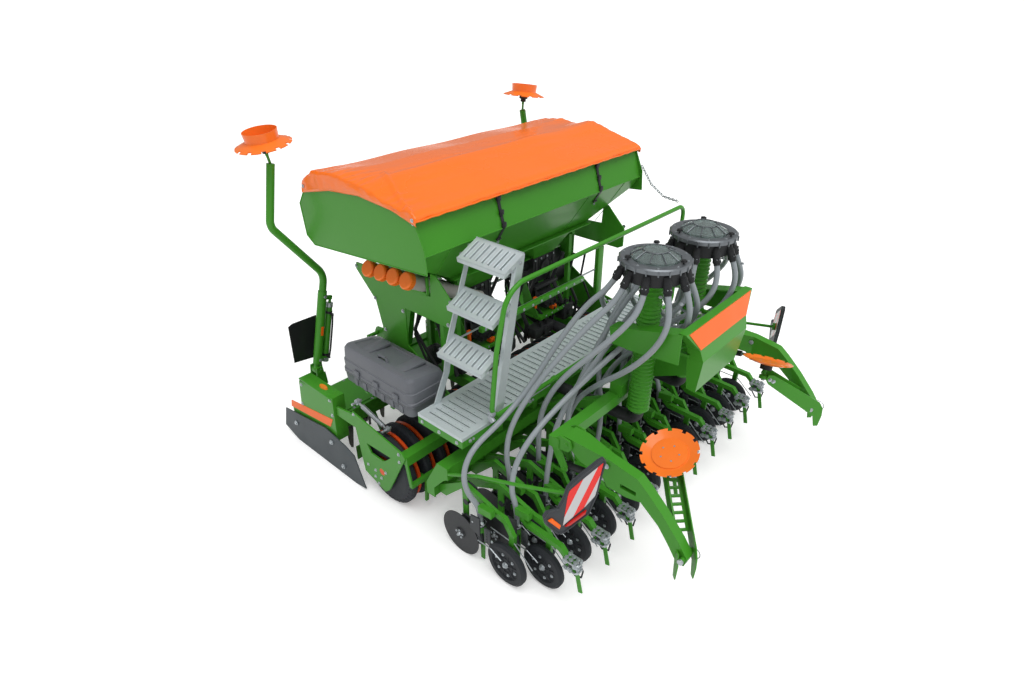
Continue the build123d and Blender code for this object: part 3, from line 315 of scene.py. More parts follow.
for side in (-1, 1):
    for y, z in ((0.20, 2.255), (1.385, 2.225)):
        bolt(hopper_bolts, (side * 1.237, y, z), (side, 0, 0), 0.007)
    for y, z in ((1.19, 1.63), (1.02, 1.64), (0.99, 1.42), (0.90, 1.18), (0.66, 1.42), (0.11, 1.66),
                 (0.17, 1.48)):
        bolt(hopper_bolts, (side * 1.021, y, z), (side, 0, 0))
place("hopper_bolts", hopper_bolts, "root", "galvanised", zinc)

# ---- hopper cover
# Orange coated tarpaulin, drawn over a ridge tube and down over all four edges of the hopper. Its
# ends are gathered and its hem is turned round a cord, so both pucker. Bolted eyelets hold the ends.
COVER_HALF, COVER_THICK = 1.246, 0.0025
LEFT_SLACK, RIGHT_SLACK = 0.85, 0.75
RIDGE_Y = 0.62
COVER_LINE = [(0.158, 2.278), (0.163, 2.303), (0.205, 2.322), (0.50, 2.396), (0.62, 2.432), (0.665, 2.441),
              (0.72, 2.438), (0.95, 2.430), (1.26, 2.388), (1.37, 2.318), (1.402, 2.290), (1.412, 2.235)]
PANEL_TOP = [(0.158, 2.270), (0.384, 2.322), (0.728, 2.345), (1.067, 2.311), (1.412, 2.230)]
COVER_STEPS = [((y1 - y0) ** 2 + (z1 - z0) ** 2) ** 0.5
               for (y0, z0), (y1, z1) in zip(COVER_LINE, COVER_LINE[1:])]
tarp_orange = finish("orange_tarpaulin", (0.97, 0.190, 0.016), (0.93, 0.170, 0.013), 0.26, patch=2.2,
                     grain=900.0, bump=0.05, coat=0.35)


def on_line(line, y):
    """Height of a (y, z) line at y."""
    for (y0, z0), (y1, z1) in zip(line, line[1:]):
        if y <= y1 or (y1, z1) == line[-1]:
            return z0 + (z1 - z0) * min(1.0, max(0.0, (y - y0) / (y1 - y0)))


def cover_point(share):
    """Point of the cover's cross-section, from its rear hem at 0 to its front hem at 1."""
    at = share * sum(COVER_STEPS)
    for k, step in enumerate(COVER_STEPS):
        if at <= step or k == len(COVER_STEPS) - 1:
            (y0, z0), (y1, z1) = COVER_LINE[k], COVER_LINE[k + 1]
            return y0 + at / step * (y1 - y0), z0 + at / step * (z1 - z0)
        at -= step


def swell(y, middle, half):
    """1 on a line across the cover, falling to 0 at half a width from it."""
    return max(0.0, 1 - ((y - middle) / half) ** 2)


cover_mesh = bmesh.new()
bmesh.ops.create_grid(cover_mesh, x_segments=190, y_segments=110, size=1.0)
for vert in cover_mesh.verts:
    y, z = cover_point((vert.co.y + 1) / 2)
    x = vert.co.x * COVER_HALF
    # Both ends hang slack past the last bow. The right one sinks to a saddle in front of the ridge,
    # the left one dips and folds at its rear corner, and the cloth sags a little between the bows.
    left = max(0.0, (-x - LEFT_SLACK) / (COVER_HALF - LEFT_SLACK))
    right = max(0.0, (x - RIGHT_SLACK) / (COVER_HALF - RIGHT_SLACK))
    inside = min(1.0, max(0.0, min(y - 0.17, 1.38 - y) / 0.12))
    saddle = -0.030 * right ** 1.5 * swell(y, 0.86, 0.14)
    dip = -0.045 * left ** 2 * swell(y, RIDGE_Y, 0.40)
    sag = -0.012 * inside * (0.5 + 0.5 * cos(2 * pi * x / 0.83))
    crease = noise.noise(Vector((x * 2.2, y * 15.0, 0.3))) * 0.006 * swell(y, RIDGE_Y, 0.22)
    off_fold = ((x + 1.05) * 0.46 - (0.66 - y) * -0.196) / 0.5
    pinch = 0.020 * left ** 0.5 * max(0.0, 1 - abs(off_fold) / 0.035) ** 2 if 0.18 < y < 0.75 else 0.0
    gathers = max(left ** 2, 0.5 * right ** 3) * inside
    pucker = noise.noise(Vector((x * 8.0, y * 22.0, 2.0))) * 0.014 * gathers
    ruffle = 0.004 * noise.noise(Vector((x * 11.0, y * 3.0, 4.0))) * (1 - inside)
    vert.co = Vector((x, y + ruffle, z + saddle + dip + sag * 0.6 + crease + pinch + pucker + ruffle))
ends = [edge for edge in cover_mesh.edges if edge.is_boundary
        and all(abs(abs(v.co.x) - COVER_HALF) < 0.001 for v in edge.verts)]
SKIRT_ROWS = 6
tops = {}
for row in range(1, SKIRT_ROWS + 1):
    grown = bmesh.ops.extrude_edge_only(cover_mesh, edges=ends)["geom"]
    fresh = [item for item in grown if isinstance(item, bmesh.types.BMVert)]
    for vert in fresh:
        side = 1 if vert.co.x > 0 else -1
        top = tops.setdefault((side, round(vert.co.y, 4)), vert.co.z)
        low = min(on_line(PANEL_TOP, vert.co.y) - 0.022, top - 0.012)
        wave = noise.noise(Vector((vert.co.y * 14.0, side * 3.0, row * 0.5)))
        belly = 0.005 * sin(pi * row / SKIRT_ROWS) * (1 + wave)
        vert.co.z = top + (low - top) * row / SKIRT_ROWS
        vert.co.x = side * (COVER_HALF + 0.002 + belly + 0.003 * wave)
    ends = [item for item in grown
            if isinstance(item, bmesh.types.BMEdge) and all(v in fresh for v in item.verts)]
cover = place("tarpaulin_cover", cover_mesh, "root", "tarpaulin", tarp_orange, sharp=180.0)
thick = cover.modifiers.new("thickness", "SOLIDIFY")
thick.thickness = COVER_THICK
thick.offset = -1.0
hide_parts("hopper_cover")
hem_mesh = bmesh.new()
for y, z in ((0.157, 2.280), (1.413, 2.238)):
    bent_bar(hem_mesh, [Vector((-COVER_HALF + COVER_HALF / 20 * k, y + 0.002 * sin(5.0 * k),
                                z + 0.0025 * sin(3.7 * k))) for k in range(41)], 0.006, 10)
hem = place("cover_hem", hem_mesh, "root", "tarpaulin", tarp_orange, sharp=60.0)
eyelets = bmesh.new()
for side in (-1, 1):
    for y, z in ((0.185, 2.285), (1.38, 2.262)):
        bar(eyelets, (side * 1.250, y, z), (side * 1.256, y, z), 0.013, 16)
    bolt(eyelets, (side * 1.255, 0.185, 2.285), (side, 0, 0), 0.006)
place("cover_eyelets", eyelets, "root", "galvanised", zinc)

# ---- metering units, fan and stowed tubes
# Each metering unit is a black moulded housing with an electric motor, a calibration lever and a
# green flap under it, in a tangle of cables and boxes. The fan blows into both ducts. Four plastic
# calibration tubes with orange caps are stowed on the left in a green rack.
coat_nodes(black, "metering_units", "fan_and_ducts")
METER_X = 0.40
CABLES, CABLE_FIRST, CABLE_PITCH = 26, -0.92, 0.074
VALVE_BOXES = (  # from and to in X, in Y and in Z
    (-0.78, -0.66, 0.62, 0.74, 0.84, 0.98), (-0.30, -0.12, 0.34, 0.44, 0.83, 0.94),
    (0.10, 0.36, 0.32, 0.44, 0.82, 0.92), (0.52, 0.66, 0.34, 0.46, 0.84, 1.00),
    (-0.74, -0.60, 0.36, 0.48, 0.84, 0.98), (0.02, 0.16, 0.62, 0.74, 0.86, 1.00))
units = bmesh.new()
for side in (-1, 1):
    x = side * METER_X
    bar(units, (x - 0.235, 0.60, 1.40), (x - 0.120, 0.60, 1.40), 0.055, 24)
    bar(units, (x - 0.245, 0.60, 1.40), (x - 0.235, 0.60, 1.40), 0.030, 24)
    bar(units, (x, 0.47, 1.38), (x, 0.50, 1.38), 0.060, 24)
    for k in range(6):
        block(units, (x - 0.120 + 0.045 * k, 0.484, 1.345), (x - 0.108 + 0.045 * k, 0.496, 1.470), 0.002)
    block(units, (x - 0.150, 0.45, 1.20), (x + 0.150, 0.50, 1.235), 0.006)
    block(units, (x - 0.08, 0.40, 1.02), (x + 0.08, 0.52, 1.16), 0.012)
    bar(units, (x - 0.10, 0.46, 1.09), (x + 0.10, 0.46, 1.09), 0.035, 20)
    for k in range(3):
        bar(units, (x - 0.06 + 0.06 * k, 0.40, 1.05), (x - 0.06 + 0.06 * k, 0.385, 1.05), 0.016, 14)
for k in range(CABLES):
    x = CABLE_FIRST + CABLE_PITCH * k
    low, back_y = 0.80 + 0.05 * sin(7.0 * k), 0.55 + 0.25 * sin(3.1 * k)
    bent_bar(units, [(x, 0.42 + 0.05 * cos(5.0 * k), low), (x + 0.05 * sin(4.0 * k), back_y, low + 0.18),
                     (x - 0.07 * sin(2.0 * k), back_y + 0.12, low + 0.38), (x, back_y + 0.05, low + 0.62)],
             0.010 + 0.004 * (k % 3), 10)
for x0, x1, y0, y1, z0, z1 in VALVE_BOXES:
    x, z = (x0 + x1) / 2, (z0 + z1) / 2
    block(units, (x0, y0, z0), (x1, y1, z1), 0.022)
    bar(units, (x, y0, z), (x, y0 - 0.025, z), 0.035, 20)
    for dx in (-0.04, 0.04):
        bar(units, (x + dx, y0 + 0.02, z1 - 0.01), (x + dx, y0 + 0.02, z1 + 0.045), 0.014, 12)
place("metering_housings", units, "root", "dark_steel", black)

trays = bmesh.new()
for side in (-1, 1):
    x = side * METER_X
    block(trays, (x - 0.20, 0.36, 0.965), (x + 0.20, 0.54, 0.977), 0.003)
    block(trays, (x - 0.20, 0.352, 0.965), (x + 0.20, 0.362, 1.000), 0.003)
    for dx in (-0.19, 0.18):
        cut_plate(trays, [(x + dx, 0.38, 0.977), (x + dx, 0.54, 0.977), (x + dx, 0.60, 1.30),
                          (x + dx, 0.55, 1.30)], (0.008, 0, 0))
    block(trays, (x - 0.26, 0.52, 1.475), (x + 0.26, 0.70, 1.487), 0.003)
block(trays, (-0.64, 0.225, 1.235), (0.64, 0.265, 1.275), 0.004)
block(trays, (-0.98, 0.27, 0.98), (-0.90, 0.31, 1.45), 0.004)
block(trays, (0.90, 0.27, 0.98), (0.98, 0.31, 1.45), 0.004)
place("metering_trays", trays, "root", "green_paint", green)

levers = bmesh.new()
for side in (-1, 1):
    x = side * METER_X
    block(levers, (x - 0.190, 0.420, 1.050), (x - 0.165, 0.445, 1.150), 0.006)
    block(levers, (x - 0.196, 0.416, 1.120), (x - 0.159, 0.449, 1.160), 0.008)
    block(levers, (x + 0.010, 0.380, 0.985), (x + 0.060, 0.430, 1.025), 0.005)
place("metering_levers", levers, "root", "orange_plastic", label_orange)

shafts = bmesh.new()
bar(shafts, (-0.86, 0.45, 1.382), (-0.30, 0.45, 1.30), 0.010, 12)
bar(shafts, (-0.875, 0.45, 1.384), (-0.85, 0.45, 1.380), 0.018, 12)
bar(shafts, (-0.64, 0.60, 1.36), (0.64, 0.60, 1.36), 0.012, 6)
bar(shafts, (-0.90, 0.30, 1.24), (0.90, 0.30, 1.24), 0.008, 10)
for k in range(12):
    bolt(shafts, (-0.60 + 0.109 * k, 0.225, 1.255), (0, -1, 0), SMALL_BOLT)
for side in (-1, 1):
    for k in range(4):
        for y, z in ((0.489, 1.46), (0.352, 0.985)):
            bolt(shafts, (side * METER_X - 0.12 + 0.08 * k, y, z), (0, -1, 0), 0.006)
place("metering_shafts", shafts, "root", "galvanised", zinc)

FAN_EYE, GUARD_WIRE = Vector((0.806, 0.87, 1.12)), 0.004
fan = bmesh.new()
bar(fan, FAN_EYE + Vector((0.004, 0, 0)), FAN_EYE + Vector((0.016, 0, 0)), 0.150, 32)
for k in range(12):
    out = spoke(30 * k, "X")
    bar(fan, FAN_EYE + out * 0.03, FAN_EYE + out * 0.145, GUARD_WIRE, 6)
for radius in (0.05, 0.085, 0.12, 0.148):
    bent_bar(fan, hoop(FAN_EYE - Vector((0.002, 0, 0)), radius, "X"), GUARD_WIRE, 6)
place("fan_guard", fan, "root", "black_wheel", black)

tube_grey = finish("grey_tube_plastic", (0.40, 0.38, 0.36), (0.35, 0.33, 0.31), 0.42, patch=9.0, bump=0.04,
                   coat=0.1)
cap_orange = finish("orange_cap_plastic", (0.95, 0.20, 0.022), (0.90, 0.18, 0.018), 0.30, patch=18.0,
                    coat=0.3)
TUBE_LEAN = Vector((1.0, 0.0, -0.54)).normalized()
TUBE_END, TUBE_STEP = Vector((-1.150, 0.438, 1.779)), Vector((0, 0.142, -0.011))
TUBE_RADIUS, TUBE_LENGTH, CAP_RADIUS = 0.051, 0.800, 0.061
tubes, caps = bmesh.new(), bmesh.new()
for k in range(4):
    foot = TUBE_END + TUBE_STEP * k
    bar(tubes, foot + TUBE_LEAN * 0.040, foot + TUBE_LEAN * TUBE_LENGTH, TUBE_RADIUS, 32)
    for at in (0.30, 0.62):
        bar(tubes, foot + TUBE_LEAN * at, foot + TUBE_LEAN * (at + 0.012), 0.054, 32)
    bar(caps, foot + TUBE_LEAN * 0.004, foot + TUBE_LEAN * 0.044, CAP_RADIUS, 36)
    bar(caps, foot - TUBE_LEAN * 0.004, foot + TUBE_LEAN * 0.004, 0.052, 36, tip=CAP_RADIUS)
    for ridge in range(24):
        out = spoke(15 * ridge, "X")
        rim = foot + (Vector((0, out.y, 0)) + TUBE_LEAN.cross(Vector((0, out.z, 0)))) * CAP_RADIUS
        bar(caps, rim + TUBE_LEAN * 0.006, rim + TUBE_LEAN * 0.042, 0.0028, 6)
tube_piece = place("stowed_tubes", tubes, "root", "cap_plastic", tube_grey)
place("stowed_tube_caps", caps, "root", "cap_plastic", cap_orange)
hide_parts("storage_tubes")
tube_rack = bmesh.new()
for reach in (0.16, 0.58):
    mid = TUBE_END + TUBE_LEAN * reach
    block(tube_rack, (mid.x - 0.012, 0.375, mid.z - 0.075), (mid.x + 0.012, 0.935, mid.z - 0.050), 0.003)
    block(tube_rack, (mid.x - 0.012, 0.372, mid.z - 0.075), (mid.x + 0.012, 0.384, mid.z + 0.070), 0.003)
place("tube_rack", tube_rack, "root", "green_paint", green)

# ---- risers and distributor heads
# Corrugated green steel pipes carry the air and seed up. Each cast head has ten sockets with black
# clamps, and a clear domed lid held down by black star knobs.
coat_nodes(green, "risers")
cast_grey = finish("cast_grey_metal", (0.19, 0.205, 0.220), (0.13, 0.145, 0.158), 0.30, metal=0.5,
                   patch=20.0, bump=0.12)
lid_dark = finish("head_inside_coat", (0.075, 0.085, 0.088), (0.055, 0.062, 0.066), 0.4, patch=20.0)
coat_nodes(black, "distributor_heads")
clear = finish("clear_lid_plastic", (0.62, 0.72, 0.70), (0.55, 0.66, 0.64), 0.08, patch=10.0, bump=0.01)
clear.node_tree.nodes["Principled BSDF"].inputs["Transmission Weight"].default_value = 0.85
clear.node_tree.nodes["Principled BSDF"].inputs["IOR"].default_value = 1.3
HEAD_X, HEAD_Y, HEAD_TOP = 0.31, -0.96, 2.070
SOCKETS, SOCKET_FIRST, SOCKET_PITCH, RIVET_TURN = 10, 18, 36, 17.7617
RIM_LINE = ((0.158, 0.000), (0.158, 0.012), (0.170, 0.016), (0.214, 0.014), (0.224, 0.006), (0.224, -0.018),
            (0.214, -0.022))
DOME_LINE = ((0.160, 0.010), (0.156, 0.022), (0.100, 0.052), (0.080, 0.058), (0.0, 0.060))
RIB_LINE, RIB_RADIUS = ((0.158, 0.024), (0.100, 0.055), (0.080, 0.061)), 0.0035


def spun(centre, line, steps):
    """Shell turned about a vertical axis from a line of (radius, height) points."""
    shape = bmesh.new()
    chain = [shape.verts.new(centre + Vector((radius, 0, z))) for radius, z in line]
    edges = [shape.edges.new(pair) for pair in zip(chain, chain[1:])]
    bmesh.ops.spin(shape, geom=chain + edges, cent=centre, axis=UP, dvec=(0, 0, 0), angle=2 * pi, steps=steps,
                   use_merge=True)
    return shape


for side, where in ((-1, "left"), (1, "right")):
    centre = Vector((side * HEAD_X, HEAD_Y, 0.0))
    top = centre + UP * HEAD_TOP
    rim = spun(top, RIM_LINE, 64)
    for k in range(20):
        edge = top + spoke(18 * k, "Z") * 0.226
        block(rim, edge - Vector((0.004, 0.004, 0.030)), edge + Vector((0.004, 0.004, 0.004)), 0.001)
    place(f"head_rim_{where}", rim, "root", "grey_metal", cast_grey)
    dome = spun(top, DOME_LINE, SOCKETS)
    bmesh.ops.remove_doubles(dome, verts=dome.verts[:], dist=0.0005)
    lid = place(f"clear_lid_{where}", dome, "root", "clear_plastic", clear, sharp=12.0)
    wall = lid.modifiers.new("wall", "SOLIDIFY")
    wall.thickness = 0.003
    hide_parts("distributor_lids")
    ribs = bmesh.new()
    for k in range(SOCKETS):
        out = spoke(SOCKET_FIRST + SOCKET_PITCH * k, "Z")
        bent_bar(ribs, [top + out * radius + UP * z for radius, z in RIB_LINE], RIB_RADIUS, 6)
    bent_bar(ribs, hoop(top + UP * RIB_LINE[-1][1], RIB_LINE[-1][0], "Z"), RIB_RADIUS, 6)
    place(f"lid_ribs_{where}", ribs, "root", "clear_plastic", cast_grey)
    inside = bmesh.new()
    bar(inside, top - UP * 0.004, top + UP * 0.002, 0.157, 40)
    bar(inside, top, top + UP * 0.040, 0.070, 32, tip=0.020)
    place(f"head_floor_{where}", inside, "root", "grey_metal", lid_dark)
    knobs = bmesh.new()
    for turn in (30, 150, 270):
        at = top + spoke(turn, "Z") * 0.190 + UP * 0.010
        bar(knobs, at, at + UP * 0.022, 0.006, 10)
        bar(knobs, at + UP * 0.018, at + UP * 0.032, 0.017, 14, tip=0.013)
        for arm in range(5):
            tip = at + spoke(72 * arm, "Z") * 0.015
            bar(knobs, tip + UP * 0.019, tip + UP * 0.030, 0.006, 8)
    screws = bmesh.new()
    for k in range(SOCKETS):
        turn = SOCKET_FIRST + SOCKET_PITCH * k
        out = Vector((-side * spoke(turn, "Z").x, spoke(turn, "Z").y, 0))
        across = Vector((-out.y, out.x, 0)) * 0.014
        start, end = centre + out * 0.196 + UP * 1.998, centre + out * 0.228 + UP * 1.934
        way = (end - start).normalized()
        bar(knobs, start, end, 0.0262, 16)
        for share in (0.15, 0.85):
            mid = start.lerp(end, share)
            bar(knobs, mid - way * 0.006, mid + way * 0.006, 0.0285, 16)
        bar(knobs, end, end + way * 0.014, 0.0225, 16)
        lug = start.lerp(end, 0.5) + out * 0.022
        block(knobs, lug - Vector((0.009, 0.009, 0.012)), lug + Vector((0.009, 0.009, 0.012)), 0.003)
        at = centre + out * 0.238 + UP * 1.962
        bar(screws, at - across, at + across, 0.004, 8)
        bolt(screws, top + spoke(turn + RIVET_TURN, "Z") * 0.200 + UP * 0.015, UP, 0.005)
    place(f"head_clamps_{where}", knobs, "root", "dark_grey_plastic", black)
    place(f"head_screws_{where}", screws, "root", "galvanised", zinc)
    riser_band = bmesh.new()
    bar(riser_band, centre + UP * 1.485, centre + UP * 1.500, 0.0815, 32)
    block(riser_band, centre + Vector((0.070, -0.012, 1.483)), centre + Vector((0.100, 0.012, 1.502)), 0.002)
    place(f"riser_band_{where}", riser_band, "root", "galvanised", zinc)

# ---- coulters, press wheels and discs
# Each of the twenty coulters is a pair of green plates on a rubber-sprung arm, with a serrated disc,
# a cast body, a seed tube and a press wheel. The rows stand 192 mm apart.
coat_nodes(green, "coulter_frame", "coulter_arms", "harrow_arms", "gantry")
cast_black = finish("cast_black_body", (0.030, 0.034, 0.038), (0.050, 0.055, 0.060), 0.45, metal=0.3,
                    patch=22.0, bump=0.2)
wheel_black = finish("press_wheel_plastic", (0.020, 0.023, 0.027), (0.030, 0.034, 0.039), 0.48, patch=16.0,
                     bump=0.12)
coat_nodes(wheel_black, "press_wheels_front", "press_wheels_rear")
disc_steel = finish("black_disc_steel", (0.018, 0.020, 0.023), (0.032, 0.034, 0.038), 0.40, metal=0.3,
                    patch=18.0, bump=0.12)
coat_nodes(disc_steel, "discs_front", "discs_rear")
COULTERS, COULTER_PITCH, ROW_BACK = 10, 0.3, 0.192
ROWS = {"front": (-1.425, 0.0), "rear": (-1.275, ROW_BACK)}
AXLE_Y, AXLE_Z = -0.741, 0.165
DISC_Y, DISC_Z = -0.321, 0.178
SEED_TUBE_Y = -0.498
BODY_PLATES = (  # X of the plate's inner face, thickness, rounding, (y, z) outline
    (0.010, 0.016, 0.003,
     ((-0.396, 0.135), (-0.276, 0.150), (-0.261, 0.260), (-0.331, 0.340), (-0.441, 0.335), (-0.471, 0.240))),
    (-0.046, 0.010, 0.002, ((-0.536, 0.300), (-0.441, 0.330), (-0.451, 0.455), (-0.536, 0.470))),
    (0.062, 0.012, 0.002,
     ((-0.260, 0.470), (-0.250, 0.545), (-0.330, 0.600), (-0.410, 0.585), (-0.400, 0.480))))
BRACKET = ((-0.500, 0.545), (-0.620, 0.560), (-0.620, 0.500), (-0.500, 0.485))
COULTER_BOLTS = (  # X of the surface, which way out, (y, z, size) of each bolt
    (0.062, 1,
     ((-0.330, 0.545, 0.010), (-0.330, 0.435, 0.011), (-0.560, 0.500, 0.010), (-0.640, 0.480, 0.009),
      (-0.700, 0.400, 0.009), (-0.735, 0.260, 0.009), (-0.741, 0.165, 0.013))),
    (0.028, 1, ((-0.300, 0.300, 0.008), (-0.380, 0.250, 0.008))),
    (-0.040, -1, ((-0.560, 0.440, 0.009), (-0.640, 0.330, 0.008), (-0.470, 0.400, 0.008))))
PRESS_ROD = ((-0.560, 0.350), (-0.780, 0.345), (-0.930, 0.215))
SCRAPER_ROD = ((-0.505, 0.245), (-0.620, 0.250), (-0.715, 0.205))
green_bits, zinc_bits, black_bits = bmesh.new(), bmesh.new(), bmesh.new()
wheel_ribs = {row: bmesh.new() for row in ROWS}
for row, (first, back) in ROWS.items():
    wheel_bits, disc_bits, ribs = bmesh.new(), bmesh.new(), wheel_ribs[row]
    for k in range(COULTERS):
        at = Vector((first + COULTER_PITCH * k, -back, 0))
        # Arm: bolted clamp plates, stop, spring housing and depth-setting rack.
        for x, thick, rounding, outline in BODY_PLATES:
            cut_plate(black_bits, [at + Vector((x, y, z)) for y, z in outline], (thick, 0, 0), rounding)
        cut_plate(green_bits, [at + Vector((-0.024, y, z)) for y, z in BRACKET], (0.048, 0, 0), 0.003)
        bar(black_bits, at + Vector((0.028, -0.330, 0.435)), at + Vector((0.075, -0.330, 0.435)), 0.024, 20)
        bent_bar(zinc_bits, [at + Vector((0.036, y, z)) for y, z in PRESS_ROD], 0.004)
        tube = at + Vector((0.004, SEED_TUBE_Y, 0))
        bar(black_bits, tube + UP * 0.352, tube + UP * 0.382, 0.0310, 20)
        bar(black_bits, tube + UP * 0.190, tube + Vector((0, 0.018, 0.305)), 0.022, 16)
        block(black_bits, at + Vector((-0.055, -0.640, 0.300)), at + Vector((-0.042, -0.585, 0.430)), 0.004)
        for notch in range(5):
            tooth = at + Vector((-0.043, -0.610, 0.315 + 0.024 * notch))
            bar(black_bits, tooth, tooth - Vector((0.015, 0, 0)), 0.006, 8)
        bar(zinc_bits, tube + UP * 0.362, tube + UP * 0.372, 0.0325, 20)
        bar(zinc_bits, at + Vector((0.040, -0.494, 0.367)), at + Vector((0.040, -0.516, 0.367)), 0.005, 8)
        for x, way, heads in COULTER_BOLTS:
            for y, z, size in heads:
                bolt(zinc_bits, at + Vector((x, y, z)), (way, 0, 0), size)
        bar(zinc_bits, at + Vector((0.030, -0.300, 0.060)), at + Vector((0.030, -0.380, 0.215)), 0.005, 8)
        bent_bar(zinc_bits, [at + Vector((-0.034, y, z)) for y, z in SCRAPER_ROD], 0.0045)
        # Wheel: bolted halves with ribbed faces and a raised lip, hub and dust cap.
        axle = at + Vector((0, AXLE_Y, AXLE_Z))
        for face in (-1, 1):
            out = Vector((face, 0, 0))
            for j in range(6):
                bolt(wheel_bits, axle + out * 0.014 + spoke(60 * j + 15, "X") * 0.085, out, 0.0075)
            bar(wheel_bits, axle + out * 0.012, axle + out * 0.024, 0.026, 20, tip=0.020)
            bolt(wheel_bits, axle + out * 0.025, out, 0.011)
            for radius, thick in ((0.110, 0.0045), (0.060, 0.0035)):
                bent_bar(ribs, hoop(axle + out * 0.016, radius, "X"), thick, 6)
            for j in range(6):
                way = spoke(60 * j + 45, "X")
                bar(ribs, axle + out * 0.015 + way * 0.024, axle + out * 0.015 + way * 0.108, 0.005, 6)
        hub = at + Vector((-0.034, DISC_Y, DISC_Z))
        for j in range(5):
            bolt(disc_bits, hub + spoke(72 * j + 20, "X") * 0.030, (-1, 0, 0), 0.006)
        bar(disc_bits, hub, hub - Vector((0.010, 0, 0)), 0.016, 16, tip=0.011)
    place(f"{row}_wheel_bolts", wheel_bits, f"{row}_press_wheels", "galvanised", zinc)
    place(f"{row}_disc_bolts", disc_bits, f"{row}_discs", "galvanised", zinc)
place("coulter_brackets", green_bits, "root", "green_paint", green)
place("coulter_castings", black_bits, "root", "dark_steel", cast_black)
place("coulter_bolts", zinc_bits, "root", "galvanised", zinc)
for row, ribs in wheel_ribs.items():
    place(f"{row}_wheel_ribs", ribs, f"{row}_press_wheels", "black_wheel", wheel_black)

# ---- following-harrow clamps
# Galvanised cast clamps with U-bolts stand on the rear row's trailing arms, whose tines were taken
# off for the road. A bent black rod locks each clamp's height.
coat_nodes(green, "harrow_clamps")
U_BOLT = ((-0.034, -1.110), (-0.034, -1.205), (-0.020, -1.222), (0.020, -1.222), (0.034, -1.205),
          (0.034, -1.110))
LOCK_ROD = ((-1.10, 0.30), (-1.16, 0.22), (-1.21, 0.24), (-1.22, 0.30), (-1.19, 0.35))
clamps, clamp_blacks = bmesh.new(), bmesh.new()
for k in range(COULTERS):
    x = ROWS["rear"][0] + COULTER_PITCH * k
    for dx, thick, way in ((-0.034, 0.0, -1), (0.026, 0.008, 1)):
        for y, z in ((-1.125, 0.385), (-1.165, 0.340), (-1.200, 0.385), (-1.130, 0.330)):
            bar(clamps, (x + dx, y, z), (x + dx + 0.008, y, z), 0.019, 16)
            bolt(clamps, (x + dx + thick, y, z), (way, 0, 0))
        bar(clamp_blacks, (x + dx - 0.002, -1.165, 0.372), (x + dx + 0.010, -1.165, 0.372), 0.013, 12)
    for z in (0.395, 0.330):
        bent_bar(clamps, [(x + dx, y, z) for dx, y in U_BOLT], 0.006)
    for dx in (-0.0156, 0.0156):
        for z in (0.330, 0.362, 0.394):
            bolt(clamps, (x + dx, -1.214, z), (0, -1, 0))
        for y in (-1.125, -1.160, -1.195):
            bolt(clamps, (x + dx, y, 0.406), UP)
    bent_bar(clamp_blacks, [(x + 0.038, y, z) for y, z in LOCK_ROD], 0.006)
place("clamp_castings", clamps, "root", "galvanised", zinc)
place("harrow_clamp_rods", clamp_blacks, "root", "dark_steel", cast_black)

# ---- loading platform and ladder
# Galvanised pressed-sheet deck and treads: every slot has a raised lip for grip. The deck rests on
# green brackets and its edges are folded down.
deck_zinc = finish("galvanised_deck", (0.62, 0.68, 0.69), (0.50, 0.56, 0.58), 0.42, metal=0.35, patch=14.0,
                   bump=0.12)
coat_nodes(deck_zinc, "platform_deck", "ladder")
coat_nodes(green, "platform_frame", "handrail")
DECK_TOP, LIP_TOP = 0.976, 0.977
SLOTS, SLOT_FIRST, SLOT_PITCH, LIP = 42, -1.344, 0.060, 0.0026
lips = bmesh.new()
for k in range(SLOTS):
    x = SLOT_FIRST + SLOT_PITCH * k
    for dx in (-0.0095, 0.0095):
        bar(lips, (x + dx, -0.276, LIP_TOP), (x + dx, 0.051, LIP_TOP), LIP, 6)
    for y in (-0.281, 0.056):
        bar(lips, (x - 0.008, y, LIP_TOP), (x + 0.008, y, LIP_TOP), LIP, 6)
for k in range(SLOTS - 1):
    for j in range(5):
        stud = Vector((SLOT_FIRST + SLOT_PITCH * (k + 0.5), -0.245 + 0.066 * j, DECK_TOP))
        bar(lips, stud - UP * 0.002, stud + UP * 0.004, 0.007, 10, tip=0.005)
for y in (-0.327, 0.102):
    bar(lips, (-1.398, y, DECK_TOP - 0.002), (1.178, y, DECK_TOP - 0.002), 0.004, 8)
# X of each tread's outer and inner edge, then Z of the same two.
TREAD_STEPS = ((-0.990, -0.800, 1.990, 2.080), (-1.100, -0.930, 1.680, 1.768), (-1.210, -1.040, 1.370, 1.450))
for x0, x1, z0, z1 in TREAD_STEPS:
    slope = (z1 - z0) / (x1 - x0)
    rise = Vector((-slope, 0, 1)).normalized() * 0.002
    for k in range(7):
        for dy in (-0.0105, 0.0105):
            y = -0.273 + 0.053 * k + dy
            bar(lips, Vector((x0 + 0.028, y, z0 + 0.028 * slope)) + rise,
                Vector((x1 - 0.028, y, z1 - 0.028 * slope)) + rise, 0.0024, 6)
    for share in (0.02, 0.98):
        at = Vector((x0 + share * (x1 - x0), 0, z0 + share * (z1 - z0))) + rise
        bar(lips, (at.x, -0.325, at.z), (at.x, 0.090, at.z), 0.003, 8)
        for k in range(26):
            y = -0.317 + 0.016 * k
            bar(lips, (at.x, y, at.z - 0.001), (at.x, y, at.z + 0.005), 0.004, 5, tip=0.001)
place("deck_and_tread_lips", lips, "root", "galvanised", deck_zinc)

